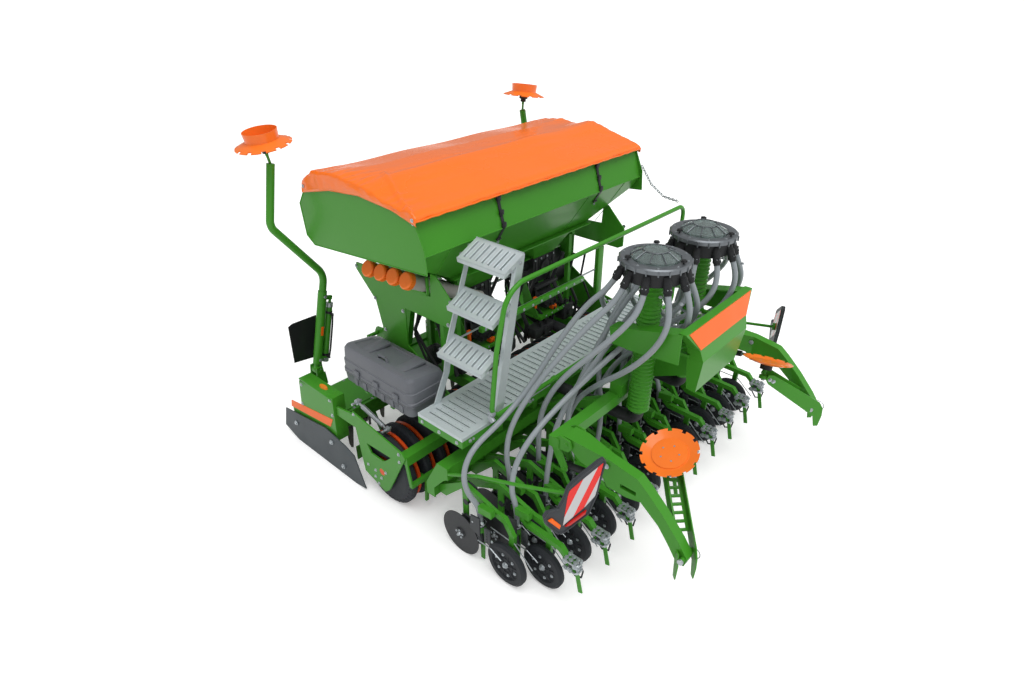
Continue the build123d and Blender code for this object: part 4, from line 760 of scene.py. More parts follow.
deck_bolts = bmesh.new()
for k in range(9):
    x = -1.33 + 0.30 * k
    bolt(deck_bolts, (x, -0.331, 0.925), (0, -1, 0), 0.009)
    bolt(deck_bolts, (x + 0.03, -0.331, 0.925), (0, -1, 0), 0.007)
for x, way in ((-1.402, -1), (1.182, 1)):
    for y in (-0.28, -0.11, 0.06):
        bolt(deck_bolts, (x, y, 0.925), (way, 0, 0), 0.009)
for x0, x1, z0, z1 in TREAD_STEPS:
    for y, way in ((-0.342, -1), (0.108, 1)):
        for share in (0.3, 0.7):
            bolt(deck_bolts, (x0 + share * (x1 - x0), y, z0 + share * (z1 - z0) - 0.02), (0, way, 0),
                 SMALL_BOLT)
bar(deck_bolts, (-1.158, -0.378, 1.005), (-1.158, -0.342, 1.040), 0.021, 16)
bar(deck_bolts, (-1.150, -0.378, 1.060), (-1.150, -0.342, 1.062), 0.019, 12)
place("deck_bolts", deck_bolts, "root", "galvanised", zinc)

# ---- storage box
# Blow-moulded dark grey plastic box with rounded corners. Its lid is hinged at the front end and
# latched along the outer side, and two green brackets carry the box on the roller frame.
box_grey = finish("storage_box_plastic", (0.150, 0.158, 0.176), (0.128, 0.136, 0.152), 0.34, patch=6.0,
                  grain=500.0, bump=0.10)
BOX_LOW, BOX_HIGH = Vector((-1.400, 0.175, 0.870)), Vector((-1.040, 0.985, 1.200))


def moulded_ring(shape, inset, z, corner=0.055, steps=8):
    """Ring of vertices round a rounded rectangle, set in from the box's outline."""
    x0, x1 = BOX_LOW.x + inset, BOX_HIGH.x - inset
    y0, y1 = BOX_LOW.y + inset, BOX_HIGH.y - inset
    ring = []
    for cx, cy, first in ((x1 - corner, y1 - corner, 0), (x0 + corner, y1 - corner, 90),
                          (x0 + corner, y0 + corner, 180), (x1 - corner, y0 + corner, 270)):
        for k in range(steps + 1):
            turn = radians(first + 90 * k / steps)
            px, py = cx + corner * cos(turn), cy + corner * sin(turn)
            ring.append(shape.verts.new((px, py, z(px, py) if callable(z) else z)))
    return ring


def moulded(rings_of):
    """Closed moulding through several rings, bottom first."""
    shape = bmesh.new()
    rings = [moulded_ring(shape, *ring) for ring in rings_of]
    for lower, upper in zip(rings, rings[1:]):
        for k in range(len(lower)):
            shape.faces.new((lower[k], lower[k - 1], upper[k - 1], upper[k]))
    shape.faces.new(rings[0])
    shape.faces.new(rings[-1])
    return shape


def lid_top(rise):
    """Height of the lid's top: it falls towards the machine and is dished round its handle."""
    return lambda x, y: 1.185 - 0.055 * max(0.0, (x - BOX_LOW.x) / 0.35) ** 1.4 + rise


tray = moulded([(0.030, 0.870, 0.040), (0.012, 0.876, 0.048), (0.008, 0.900), (0.004, 0.950), (0.0, 0.956),
                (0.0, 0.964)])
for k in range(6):
    block(tray, (-1.401, 0.27 + 0.105 * k, 0.884), (-1.393, 0.31 + 0.105 * k, 0.950), 0.003)
tray_piece = place("storage_tray", tray, "root", "dark_grey_plastic", box_grey)
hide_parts("storage_box")
# Rings from the bottom up: how far in from the outline, the height, and the corner's radius.
lid = moulded([(0.000, 0.967), (0.000, 0.984), (0.006, 0.990), (0.004, 1.060), (0.010, 1.064), (0.012, 1.072),
               (0.010, 1.082), (0.010, 1.085), (0.014, lid_top(-0.030)), (0.024, lid_top(-0.008), 0.060),
               (0.044, lid_top(0.000), 0.050), (0.075, lid_top(0.002), 0.040),
               (0.082, lid_top(-0.006), 0.036), (0.110, lid_top(-0.007), 0.030)])
for y in (0.37, 0.76):
    block(lid, (-1.330, y - 0.05, 1.150), (-1.120, y + 0.05, 1.178), 0.010)
bent_bar(lid, [(-1.312, 0.515, 1.170), (-1.312, 0.530, 1.197), (-1.312, 0.600, 1.197),
               (-1.312, 0.615, 1.170)], 0.010, 12)
for y in (0.34, 0.565, 0.79):
    block(lid, (-1.409, y - 0.030, 0.955), (-1.396, y + 0.030, 1.020), 0.004)
    bar(lid, (-1.407, y - 0.026, 0.975), (-1.407, y + 0.026, 0.975), 0.006, 10)
lid_piece = place("storage_lid", lid, "box_lid", "dark_grey_plastic", box_grey, sharp=28.0)
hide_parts("storage_box_lid")
box_brackets = bmesh.new()
for y in (0.39, 0.69):
    cut_plate(box_brackets, [(x, y, z) for x, z in ((-1.39, 0.868), (-1.39, 0.858), (-1.06, 0.858),
                                                    (-1.02, 0.79), (-1.02, 0.868))], (0, 0.04, 0))
    bolt(box_brackets, (-1.30, y + 0.02, 0.857), (0, 0, -1), 0.009)
place("storage_brackets", box_brackets, "root", "green_paint", green)

# ---- warning boards and rear lamps
# Film-covered sheet boards, striped red and white, at the two front corners; a moulded dark grey
# lamp board with the same film hangs over each rear corner on a stay tube.
board_back = finish("board_back_enamel", (0.012, 0.013, 0.014), (0.018, 0.019, 0.020), 0.35, patch=6.0,
                    coat=0.2)
surround_grey = finish("lamp_board_plastic", (0.052, 0.057, 0.064), (0.042, 0.047, 0.053), 0.42, patch=8.0,
                       bump=0.12)
film_red = finish("red_film", (0.82, 0.020, 0.014), (0.76, 0.018, 0.012), 0.25, patch=6.0, grain=1500.0,
                  coat=0.4)
film_white = finish("white_film", (0.58, 0.58, 0.58), (0.52, 0.52, 0.53), 0.25, patch=6.0, grain=1500.0,
                    coat=0.4)
lamp_red = finish("red_lamp_lens", (0.55, 0.012, 0.010), (0.45, 0.010, 0.008), 0.10, patch=30.0, coat=0.6)
FRONT_OUTLINE = [(-1.415, 1.068), (-1.373, 1.084), (-1.150, 1.080), (-1.150, 0.690), (-1.419, 0.726)]
FRONT_X, FRONT_Z, FILM_SHARE, STRIPE = -1.285, 0.885, 0.95, 0.08


def half_plane(outline, point, way):
    """Part of a 2-D outline on the side of a line that way points to."""
    kept = []
    for (u0, v0), (u1, v1) in zip(outline, outline[1:] + outline[:1]):
        d0 = (u0 - point[0]) * way[0] + (v0 - point[1]) * way[1]
        d1 = (u1 - point[0]) * way[0] + (v1 - point[1]) * way[1]
        if d0 >= 0:
            kept.append((u0, v0))
        if (d0 > 0) != (d1 > 0) and abs(d0 - d1) > 1e-9:
            kept.append((u0 + (u1 - u0) * d0 / (d0 - d1), v0 + (v1 - v0) * d0 / (d0 - d1)))
    return kept


def stripe(outline, point, way, start, end):
    """Part of an outline from start to end metres past a point, along a 2-D direction."""
    size = (way[0] ** 2 + way[1] ** 2) ** 0.5
    way = (way[0] / size, way[1] / size)
    first = (point[0] + way[0] * start, point[1] + way[1] * start)
    last = (point[0] + way[0] * end, point[1] + way[1] * end)
    part = half_plane(outline, first, way)
    return half_plane(part, last, (-way[0], -way[1])) if len(part) > 2 else []


board_piece, films = bmesh.new(), {"red": bmesh.new(), "white": bmesh.new()}
board_steel = bmesh.new()
for side in (1, -1):
    cut_plate(board_piece, [(side * x, 1.686, z) for x, z in FRONT_OUTLINE], (0, 0.005, 0), 0.0015)
    inner = [(side * (FRONT_X + (x - FRONT_X) * FILM_SHARE), FRONT_Z + (z - FRONT_Z) * FILM_SHARE)
             for x, z in FRONT_OUTLINE]
    for k in range(9):
        start = STRIPE * k - 0.02
        part = stripe(inner, (side * -1.30, 0.48), (side * 0.6, 1.0), start, start + STRIPE)
        if len(part) > 2:
            cut_plate(films["red" if k % 2 else "white"], [(x, 1.6912, z) for x, z in part], (0, 0.0008, 0),
                      0.0002)
    for x, half, low, high in ((1.200, 0.020, (1.664, 0.700), (1.686, 0.740)),
                               (1.205, 0.017, (1.652, 0.470), (1.664, 0.740)),
                               (1.205, 0.025, (1.640, 0.470), (1.686, 0.490))):
        block(board_steel, (side * x - half, *low), (side * x + half, *high))
front_boards = place("front_board_backs", board_piece, "root", "board_film", board_back)
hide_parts("warning_boards")
REAR_LOW, REAR_HIGH = Vector((-1.443, -1.183, 0.835)), Vector((-1.237, -1.281, 1.243))
REAR_MIDDLE = Vector((-1.340, -1.232, 1.039))
# Outlines on the rear board, from its middle: along its slant, and across it.
SURROUND = [(0.262, -0.012), (0.235, -0.035), (0.075, -0.115), (0.030, -0.125), (-0.045, -0.108),
            (-0.120, -0.105), (-0.155, -0.165), (-0.190, -0.165), (-0.235, -0.125), (-0.285, -0.012),
            (-0.268, 0.025), (-0.222, 0.050), (-0.105, 0.115), (-0.040, 0.100), (0.020, 0.092),
            (0.130, 0.052), (0.250, 0.012)]
REAR_FILM = [(0.233, 0.004), (0.127, -0.050), (0.030, -0.095), (0.008, -0.101), (-0.030, -0.090),
             (-0.085, -0.066), (-0.217, -0.010), (-0.059, 0.061), (0.018, 0.080), (0.050, 0.072),
             (0.123, 0.044)]
RED_LAMP = [(-0.081, 0.074), (-0.105, 0.084), (-0.200, 0.030), (-0.218, 0.002), (-0.190, 0.008)]
SIDE_LAMP = [(-0.200, -0.128), (-0.180, -0.112), (-0.215, -0.030), (-0.240, -0.026)]
surrounds, red_lamps, amber_lamps = bmesh.new(), bmesh.new(), bmesh.new()
for side in (1, -1):
    along = (REAR_HIGH - REAR_LOW).normalized()
    over = Vector((0.75, -0.42, -0.5))
    over = (over - along * over.dot(along)).normalized()
    out = -along.cross(over)

    def on_board(u, v, lift):
        """Point on the rear board, mirrored for the right-hand one."""
        at = REAR_MIDDLE + along * u + over * v + out * lift
        return Vector((at.x * side, at.y, at.z))

    thickness = on_board(0, 0, 0.022) - on_board(0, 0, 0)
    cut_plate(surrounds, [on_board(u, v, 0) for u, v in SURROUND], thickness, 0.005)
    for (u0, v0), (u1, v1) in zip(SURROUND, SURROUND[1:] + SURROUND[:1]):
        bar(surrounds, on_board(u0 * 0.97, v0 * 0.95, 0.024), on_board(u1 * 0.97, v1 * 0.95, 0.024), 0.005, 8)
    skin = on_board(0, 0, 0.002) - on_board(0, 0, 0)
    for colour, start, end in (("red", -0.12, -0.050), ("white", -0.050, 0.006), ("red", 0.006, 0.048),
                               ("white", 0.048, 0.12)):
        part = stripe(REAR_FILM, (0.0, 0.0), (0.10, 1.0), start, end)
        if len(part) > 2:
            for lift in (0.0215, -0.0015):
                cut_plate(films[colour], [on_board(u, v, lift) for u, v in part], skin, 0.0003)
    for lamp, shape in ((RED_LAMP, red_lamps), (SIDE_LAMP, amber_lamps)):
        cut_plate(shape, [on_board(u, v, 0.020) for u, v in lamp], thickness * 0.7, 0.004)
    bent_bar(board_steel, [(-side * 1.440, -0.226, 0.648), (-side * 1.440, -0.510, 0.800),
                           (-side * 1.420, -0.810, 0.900), (-side * 1.352, -1.190, 1.010)], 0.012, 14)
    bar(board_steel, on_board(-0.02, 0.0, -0.022), on_board(-0.02, 0.0, 0.002), 0.030, 16)
place("rear_board_mouldings", surrounds, "root", "dark_grey_plastic", surround_grey)
place("board_red_stripes", films["red"], "root", "board_film", film_red)
place("board_white_stripes", films["white"], "root", "board_film", film_white)
place("rear_lamps", red_lamps, "root", "board_film", lamp_red)
place("side_lamps", amber_lamps, "root", "orange_plastic", label_orange)
place("board_carriers", board_steel, "root", "green_paint", green)

# ---- track markers, folded up beside the front corners
# Each arm is a green steel tube, pinned to a bracket on the trough's end and folded by a hydraulic
# cylinder on its inboard side. A toothed orange disc turns on a black hub at its top.
orange_disc = finish("orange_disc_enamel", (0.93, 0.20, 0.024), (0.88, 0.18, 0.020), 0.30, patch=7.0,
                     coat=0.3)
coat_nodes(green, "marker_arm_left", "marker_arm_right", "tramline_arm_left", "tramline_arm_right",
           "tramline_disc_arm_left", "tramline_disc_arm_right")
coat_nodes(orange_disc, "marker_disc_left", "marker_disc_right", "tramline_disc_left", "tramline_disc_right")
coat_nodes(black, "tramline_barrel_left", "tramline_barrel_right")
coat_nodes(zinc, "tramline_rod_left", "tramline_rod_right")


def disc_spoke(k, axis):
    """One of five unit vectors round a disc's axis."""
    out = spoke(72 * k, "Z")
    return (out - axis * out.dot(axis)).normalized()


for side, where in ((-1, "left"), (1, "right")):
    hinge = Vector((side * 1.28, 1.59, 0.64))
    lean = Vector((-side * 0.205, 0, 0.818)).normalized()
    inboard = Vector((-side, 0, side * lean.x / lean.z)).normalized()
    cylinder_foot = hinge + inboard * 0.076
    hubs, hub_bolts, pins, ports, blank = (bmesh.new() for _ in range(5))
    disc = Vector((side * 1.384, 1.596, 2.572))
    axis = Vector((side * 0.14, 0, 0.99)).normalized()
    bar(hubs, disc - axis * 0.062, disc - axis * 0.004, 0.0405, 28)
    bar(hubs, disc - axis * 0.090, disc - axis * 0.060, 0.026, 20)
    bar(hubs, disc + axis * 0.002, disc + axis * 0.014, 0.026, 28, tip=0.020)
    for k in range(5):
        bolt(hub_bolts, disc + disc_spoke(k, axis) * 0.055 + axis * 0.004, axis, 0.007)
    bolt(hub_bolts, disc + axis * 0.020, axis, 0.009)
    for along_arm in (0.02, 0.10, 0.66):
        at = hinge + lean * along_arm
        bar(pins, at - Vector((0, 0.052, 0)), at + Vector((0, 0.052, 0)), 0.009, 12)
        for way in (1, -1):
            bolt(pins, at + Vector((0, way * 0.046, 0)), (0, way, 0), 0.009)
    for along_arm in (0.085, 0.575):
        at = cylinder_foot + lean * along_arm
        bar(pins, at - Vector((0, 0.036, 0)), at + Vector((0, 0.036, 0)), 0.010, 12)
        bar(pins, at - lean * 0.018, at + lean * 0.018, 0.0285, 20)
    for along_arm in (0.12, 0.50):
        at = cylinder_foot + lean * along_arm
        bar(ports, at, at + lean * 0.022, 0.029, 20)
        bar(ports, at - Vector((0, 0.026, 0)), at - Vector((0, 0.060, 0)), 0.010, 12)
    bent_bar(ports, [cylinder_foot + lean * along_arm - Vector((0, off, 0))
                     for along_arm, off in ((0.131, 0.055), (0.20, 0.062), (0.42, 0.062), (0.511, 0.055))],
             0.008, 10)
    at = hinge + lean * 0.36 - Vector((0, 0.0375, 0))
    cut_plate(blank, [at + lean * a + inboard * b for a,
                      b in ((-0.040, -0.012), (0.040, -0.012), (0.040, 0.012), (-0.040, 0.012))],
              (0, -0.0008, 0), 0.0002)
    place(f"marker_hub_{where}", hubs, f"marker_wheel_{where}", "dark_grey_plastic", black)
    place(f"marker_hub_bolts_{where}", hub_bolts, f"marker_wheel_{where}", "galvanised", zinc)
    place(f"marker_pins_{where}", pins, f"marker_{where}", "galvanised", zinc)
    place(f"marker_ports_{where}", ports, f"marker_{where}", "dark_grey_plastic", black)
    place(f"marker_blank_strip_{where}", blank, f"marker_{where}", "orange_plastic", label_orange)

# ---- tramline markers, folded over the rear
# Two green arms on the coulter frame carry inclined orange discs; each arm's tip is pinned for road
# travel with a galvanised pin and a wire ring. The disc hangs from the tip by an open channel.
ARM_X, TIP_Y, TIP_Z = 1.0, -1.760, 0.655
HIGH_END = [(0.430, 0.245), (0.455, 0.285), (0.440, 0.325), (0.400, 0.325)]
CHANNEL_PLATES = (  # place across the channel, outline of (towards the disc, above the tip's pin)
    (0.046, [(-0.040, -0.155), (-0.005, -0.155), (0.020, -0.060), *HIGH_END, (-0.010, 0.065), (-0.045, 0.010),
             (-0.052, -0.060)]),
    (-0.054, [(0.115, 0.015), *HIGH_END, (0.115, 0.140)]),
    (-0.062, [(-0.040, -0.155), (-0.005, -0.155), (0.012, -0.040), (0.012, 0.040), (-0.030, 0.045),
              (-0.050, -0.040)]))
RUNG_FIRST, RUNG_PITCH, CHANNEL_SLOPE = 0.118, 0.042, 0.655
for side, where in ((-1, "left"), (1, "right")):
    disc = Vector((side * 0.711, -1.433, 1.047))
    axis = Vector((side * 0.35, 0.07, 0.93)).normalized()
    hubs, hub_bolts, cap, channel, arm_bolts, pins, blank = (bmesh.new() for _ in range(7))
    bar(hubs, disc - axis * 0.052, disc - axis * 0.005, 0.0445, 28)
    for k in range(5):
        at = disc + disc_spoke(k, axis) * 0.058
        bar(hub_bolts, at + axis * 0.008, at + axis * 0.0095, 0.006, 10)
    bar(cap, disc + axis * 0.0035, disc + axis * 0.0085, 0.112, 48, tip=0.110)
    width = Vector((-side * 0.72, -0.70, 0.0)).normalized()
    reach = Vector((-side * 0.70, 0.72, 0.0)).normalized()
    tip = Vector((side * ARM_X, TIP_Y, TIP_Z))

    def on_arm(a, z, w):
        """Point of the disc arm: a towards the disc, z above the tip's pin, w across the channel."""
        return tip + reach * a + width * w + UP * z

    for w, outline in CHANNEL_PLATES:
        cut_plate(channel, [on_arm(a, z, w) for a, z in outline], width * 0.008)
    for k in range(8):
        a = RUNG_FIRST + RUNG_PITCH * k
        z = 0.062 + (a - 0.10) * CHANNEL_SLOPE
        cut_plate(channel, [on_arm(a, z, -0.048), on_arm(a, z, 0.048), on_arm(a + 0.016, z + 0.0105, 0.048),
                            on_arm(a + 0.016, z + 0.0105, -0.048)], UP * -0.006, 0.0015)
    for w in (-0.048, 0.026):
        cut_plate(channel, [on_arm(0.118, 0.074, w), on_arm(0.118, 0.074, w + 0.022),
                            on_arm(0.440, 0.284, w + 0.022), on_arm(0.440, 0.284, w)], UP * -0.006, 0.0015)
    hub_foot = disc - axis * 0.105
    bar(channel, hub_foot - axis * 0.020, hub_foot + axis * 0.006, 0.034, 24)
    bar(channel, hub_foot, disc + axis * 0.004, 0.0125, 16)
    bolt(arm_bolts, hub_foot - axis * 0.020, -axis, 0.014)
    for a, z in ((0.425, 0.285), (0.395, 0.270)):
        bolt(arm_bolts, on_arm(a, z, 0.055), width)
    bar(pins, tip - Vector((0.066, 0, 0)), tip + Vector((0.066, 0, 0)), 0.011, 16)
    bar(pins, tip - Vector((0.075, 0, 0)), tip - Vector((0.062, 0, 0)), 0.018, 16)
    bent_bar(pins, hoop(tip + Vector((0.072, -0.015, -0.025)), 0.040, "X", 18)[:-1], 0.0032, 6)
    for y, z in ((-0.902, 1.032), (-1.20, 1.03)):
        for way in (-1, 1):
            bolt(pins, (side * ARM_X + way * 0.046, y, z), (way, 0, 0), 0.012)
    cut_plate(blank, [(side * ARM_X + dx, y, z) for dx, y,
                      z in ((-0.030, -1.466, 0.978), (0.030, -1.466, 0.978), (0.030, -1.560, 0.896),
                            (-0.030, -1.560, 0.896))], (0, -0.002, 0.0024), 0.0003)
    place(f"tramline_disc_cap_{where}", cap, f"tramline_{where}_disc", "orange_plastic", orange_disc)
    place(f"tramline_hub_{where}", hubs, f"tramline_{where}_disc", "dark_grey_plastic", black)
    place(f"tramline_hub_bolts_{where}", hub_bolts, f"tramline_{where}_disc", "galvanised", zinc)
    arm_piece = place(f"tramline_disc_channel_{where}", channel, f"tramline_{where}_disc_arm", "green_paint",
                      green)
    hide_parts(f"tramline_disc_arm_{where}")
    place(f"tramline_disc_arm_bolts_{where}", arm_bolts, f"tramline_{where}_disc_arm", "galvanised", zinc)
    place(f"tramline_pins_{where}", pins, f"tramline_{where}", "galvanised", zinc)
    place(f"tramline_blank_strip_{where}", blank, f"tramline_{where}", "orange_plastic", label_orange)

# ---- safety chain over the platform's far end
# Galvanised welded chain from the hopper's right end to the handrail, whose links alternate at
# right angles.
LINK_PITCH, LINK_LONG, LINK_WIDE, LINK_WIRE = 0.024, 0.0165, 0.0095, 0.0034
chain_links = bmesh.new()
CHAIN_ROUTE = [Vector((1.222, 0.110, 2.150)), Vector((1.215, 0.000, 2.015)), Vector((1.180, -0.150, 1.945)),
               Vector((1.107, -0.345, 1.955))]
stretch = [(b - a).length for a, b in zip(CHAIN_ROUTE, CHAIN_ROUTE[1:])]
for k in range(int(sum(stretch) / LINK_PITCH)):
    at, leg = (k + 0.5) * LINK_PITCH, 0
    while at > stretch[leg]:
        at -= stretch[leg]
        leg += 1
    start, end = CHAIN_ROUTE[leg], CHAIN_ROUTE[leg + 1]
    way = (end - start).normalized()
    middle = start + way * at
    across = way.cross(Vector((0, 0, 1))).normalized()
    if k % 2:
        across = way.cross(across).normalized()
    bent_bar(chain_links,
             [middle + way * LINK_LONG * cos(radians(30 * j)) + across * LINK_WIDE * sin(radians(30 * j))
              for j in range(13)], LINK_WIRE, 6)
chain_piece = place("chain_links", chain_links, "root", "galvanised", zinc)
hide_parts("safety_chain")

# ---- gantry fittings
# A welded green steel gantry stands over the hoses. Galvanised bolts hold its side arms through
# flanges on the coulter frame.
gantry_bolts = bmesh.new()
for side in (-1, 1):
    for k in range(4):
        bolt(gantry_bolts, (side * 0.41, -0.80 - 0.14 * k, 1.88), (0, 0, 1), 0.009)
place("gantry_bolts", gantry_bolts, "root", "galvanised", zinc)

# ---- seed hoses
# Twenty grey plastic hoses, 38 mm across, are pushed over the sockets of the heads at one end and
# over the seed tubes at the other. The left head's hoses feed the front row and the right head's
# the rear row, and half of them cross over to the other side.
HOSE_WIDE = 0.038
SOCKET_OUT, SOCKET_Z = 0.222, 1.947
NECK_OUT, NECK_DROP = 0.0475, 0.09375
SEED_END_Z = 0.377
STEP_TOP, STEP_FOOT = 0.95, 0.5  # heights between which a hose moves over to its own row
LANE = 0.056
OUTER_HOSES = [  # number of the socket, X of the coulter, points on the way down
    (4, -1.125, [(-0.67, -0.8, 1.74), (-0.79, -0.65, 1.49), (-0.94, -0.515, 1.2),
                 (-1.08, -0.46, 0.97), (-1.13, -0.46, 0.76), (-1.122, -0.49, 0.56)]),
    (5, -0.825, [(-0.65, -1, 1.74), (-0.72, -0.85, 1.54), (-0.8, -0.64, 1.28), (-0.84, -0.525, 1.01),
                 (-0.828, -0.495, 0.76), (-0.817, -0.498, 0.56)]),
    (6, -0.525, [(-0.5, -1.2, 1.74), (-0.53, -1.15, 1.59), (-0.56, -1.01, 1.4), (-0.565, -0.79, 1.2),
                 (-0.533, -0.6, 0.98), (-0.525, -0.51, 0.74), (-0.517, -0.498, 0.55)]),
    (7, -0.225, [(-0.3, -1.232, 1.72), (-0.255, -1.17, 1.57), (-0.2, -1.02, 1.42),
                 (-0.175, -0.81, 1.31), (-0.18, -0.67, 1.14), (-0.205, -0.57, 0.92),
                 (-0.217, -0.51, 0.7), (-0.217, -0.498, 0.53)])]
CROSS_HOSES = [
    (9, 1.275, [(0.008, -1.015, 1.738), (0.115, -0.95, 1.6), (0.24, -0.8, 1.47), (0.45, -0.71, 1.33),
                (0.78, -0.64, 1.165), (1.08, -0.6, 1.01), (1.23, -0.595, 0.85), (1.29, -0.63, 0.67),
                (1.283, -0.68, 0.52)]),
    (0, 0.975, [(0, -0.79, 1.745), (0.15, -0.69, 1.58), (0.4, -0.65, 1.35), (0.68, -0.6, 1.13),
                (0.88, -0.62, 0.93), (0.96, -0.67, 0.73), (0.975, -0.69, 0.54)]),
    (1, 0.675, [(-0.07, -0.65, 1.75), (0.06, -0.575, 1.585), (0.3, -0.535, 1.33),
                (0.52, -0.535, 1.09), (0.64, -0.54, 0.86), (0.675, -0.66, 0.595)]),
    (2, 0.375, [(-0.27, -0.595, 1.732), (-0.13, -0.458, 1.565), (0.11, -0.44, 1.28),
                (0.215, -0.49, 1.02), (0.238, -0.57, 0.81), (0.341, -0.662, 0.69),
                (0.375, -0.69, 0.535)])]
END_HOSE = {  # 1: the left head's, -1: the right head's
    1: [(3, -1.425, [(-0.54, -0.64, 1.74), (-0.66, -0.53, 1.5), (-0.87, -0.44, 1.16), (-1.13, -0.41, 1),
                 (-1.38, -0.4, 0.93), (-1.48, -0.41, 0.8), (-1.49, -0.445, 0.66),
                 (-1.417, -0.498, 0.51)])],
    -1: [(3, -1.425, [(-0.54, -0.64, 1.74), (-0.66, -0.53, 1.5), (-0.87, -0.44, 1.16), (-1.13, -0.42, 1),
                 (-1.33, -0.44, 0.89), (-1.41, -0.48, 0.74), (-1.43, -0.498, 0.56)])]}
MIDDLE_HOSE = {  # 1: the left head's, -1: the right head's
    1: [(8, 0.075, [(-0.12, -1.2, 1.73), (-0.08, -1.14, 1.59), (-0.02, -1.01, 1.45),
                (0.02, -0.81, 1.345), (0.05, -0.69, 1.155), (0.063, -0.66, 0.93),
                (0.072, -0.675, 0.72), (0.075, -0.69, 0.54)])],
    -1: [(8, 0.075, [(-0.11, -1.17, 1.73), (-0.06, -1.09, 1.61), (0, -0.95, 1.49), (0.04, -0.79, 1.37),
                (0.06, -0.68, 1.18), (0.068, -0.65, 0.96), (0.075, -0.665, 0.74),
                (0.077, -0.69, 0.55)])]}


def hose_step(z, above, below):
    """Shift along Y at height z, as a hose moves over to its own row of coulters."""
    share = min(1, max(0, (STEP_TOP - z) / (STEP_TOP - STEP_FOOT)))
    return above + share * (below - above)


hose_grey = finish("grey_hose_plastic", (0.30, 0.33, 0.35), (0.24, 0.27, 0.29), 0.34, patch=4.0, bump=0.1,
                   coat=0.2)


def lay_hose(name, side, socket, x, points, lane, below, back):
    """One hose as a smooth curve through its points, from its socket to its seed tube."""
    out = spoke(SOCKET_FIRST + SOCKET_PITCH * socket, "Z")
    route = [Vector((-HEAD_X, HEAD_Y, z)) + out * radius
             for radius, z in ((SOCKET_OUT, SOCKET_Z), (SOCKET_OUT + NECK_OUT, SOCKET_Z - NECK_DROP))]
    route += [Vector((px, py + hose_step(pz, lane, below), pz)) for px, py, pz in points[:-1]]
    end = Vector((x + side * 0.004, SEED_TUBE_Y - back, SEED_END_Z))
    route += [Vector((end.x, end.y, points[-1][2])), end]
    curve = bpy.data.curves.new(name, "CURVE")
    curve.dimensions = "3D"
    curve.bevel_depth = HOSE_WIDE / 2
    curve.bevel_resolution = 5
    curve.resolution_u = 8
    curve.use_fill_caps = True
    line = curve.splines.new("NURBS")
    line.points.add(len(route) - 1)
    for point, at in zip(line.points, route):
        point.co = (side * at.x, at.y, at.z, 1.0)
    line.order_u = 3
    line.use_endpoint_u = True
    hose = bpy.data.objects.new(name, curve)
    bpy.context.scene.collection.objects.link(hose)
    curve.materials.append(hose_grey)
    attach(hose, "root")
    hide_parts("seed_hoses")


for side, head, back, lane in ((1, "left", 0.0, 0.0), (-1, "right", ROW_BACK, -LANE)):
    for table, shift, drawn_back in ((OUTER_HOSES + END_HOSE[side], 0.0, 0.0), (CROSS_HOSES, lane, ROW_BACK),
                                     (MIDDLE_HOSE[side], 0.0, ROW_BACK)):
        for socket, x, points in table:
            lay_hose(f"seed_hose_{head}_{socket}", side, socket, x, points, shift, drawn_back - back, back)

# ---- floor, light and camera
# Pale seamless studio floor that runs on into a white backdrop, under wide soft lamps. The camera
# stands high behind the machine's left rear corner.
CAMERA_GLOW, SKY_LEVEL, SKY_IN_GLOSS = 0.30, 0.62, 0.45
floor = bpy.data.materials.new("pale_floor")
floor.use_nodes = True
floor_nodes, floor_links = floor.node_tree.nodes, floor.node_tree.links
floor_shader = floor_nodes["Principled BSDF"]
floor_shader.inputs["Base Color"].default_value = (0.86, 0.86, 0.86, 1.0)
floor_shader.inputs["Roughness"].default_value = 0.9
floor_shader.inputs["Specular IOR Level"].default_value = 0.0
floor_shader.inputs["Emission Color"].default_value = (1.0, 1.0, 1.0, 1.0)
floor_rays = floor_nodes.new("ShaderNodeLightPath")
floor_glow = floor_nodes.new("ShaderNodeMath")
floor_glow.operation = "MULTIPLY"
floor_glow.inputs[1].default_value = CAMERA_GLOW
floor_links.new(floor_rays.outputs["Is Camera Ray"], floor_glow.inputs[0])
floor_links.new(floor_glow.outputs["Value"], floor_shader.inputs["Emission Strength"])
ground = bmesh.new()
bmesh.ops.create_grid(ground, x_segments=1, y_segments=1, size=150.0)
ground_mesh = bpy.data.meshes.new("floor")
ground.to_mesh(ground_mesh)
ground.free()
ground_mesh.materials.append(floor)
ground_piece = bpy.data.objects.new("floor", ground_mesh)
bpy.context.scene.collection.objects.link(ground_piece)
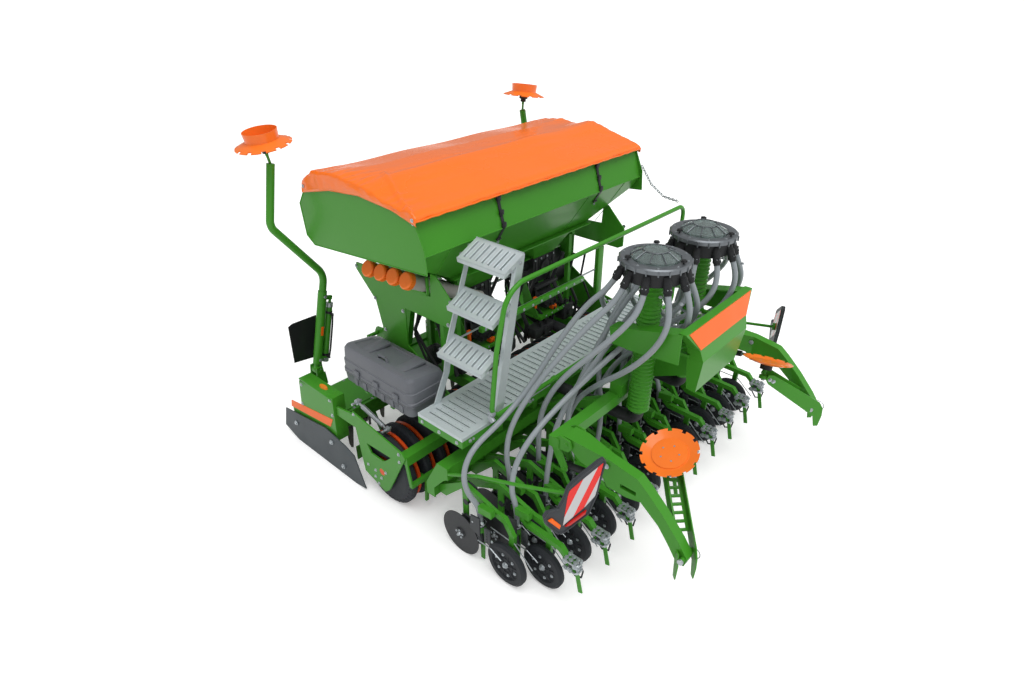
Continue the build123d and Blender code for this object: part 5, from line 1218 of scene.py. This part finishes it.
ground_piece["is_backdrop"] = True

sky = bpy.data.worlds.new("studio")
bpy.context.scene.world = sky
sky.use_nodes = True
tree = sky.node_tree
backdrop = tree.nodes["Background"]
backdrop.inputs["Color"].default_value = (1.0, 1.0, 1.0, 1.0)
rays = tree.nodes.new("ShaderNodeLightPath")
seen = tree.nodes.new("ShaderNodeMath")
seen.operation = "MAXIMUM"
tree.links.new(rays.outputs["Is Camera Ray"], seen.inputs[0])
tree.links.new(rays.outputs["Is Transmission Ray"], seen.inputs[1])
level = tree.nodes.new("ShaderNodeMapRange")
level.inputs["To Min"].default_value = SKY_LEVEL
level.inputs["To Max"].default_value = 1.0
tree.links.new(seen.outputs["Value"], level.inputs["Value"])
glossy = tree.nodes.new("ShaderNodeMapRange")
glossy.inputs["To Min"].default_value = 1.0
glossy.inputs["To Max"].default_value = SKY_IN_GLOSS
tree.links.new(rays.outputs["Is Glossy Ray"], glossy.inputs["Value"])
strength = tree.nodes.new("ShaderNodeMath")
strength.operation = "MULTIPLY"
tree.links.new(level.outputs["Result"], strength.inputs[0])
tree.links.new(glossy.outputs["Result"], strength.inputs[1])
tree.links.new(strength.outputs["Value"], backdrop.inputs["Strength"])

for name, way, wide, power in (("key_light", (0.12, 0.30, -1.0), 45.0, 1.75),
                               ("fill_light", (-0.7, 0.6, -0.8), 70.0, 0.35)):
    lamp = bpy.data.lights.new(name, "SUN")
    lamp.angle = radians(wide)
    lamp.energy = power
    stand = bpy.data.objects.new(name, lamp)
    bpy.context.scene.collection.objects.link(stand)
    stand.rotation_euler = Vector(way).to_track_quat("-Z", "Y").to_euler()

lens = bpy.data.cameras.new("camera")
lens.lens = 22.785
lens.sensor_width = 36.0
lens.clip_end = 400.0
camera = bpy.data.objects.new("camera", lens)
bpy.context.scene.collection.objects.link(camera)
camera.location = (-3.636, -2.783, 3.602)
camera.rotation_euler = (radians(60.26), 0.0, radians(-47.90))
bpy.context.scene.camera = camera
bpy.context.scene.view_settings.view_transform = "Standard"

low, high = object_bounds()
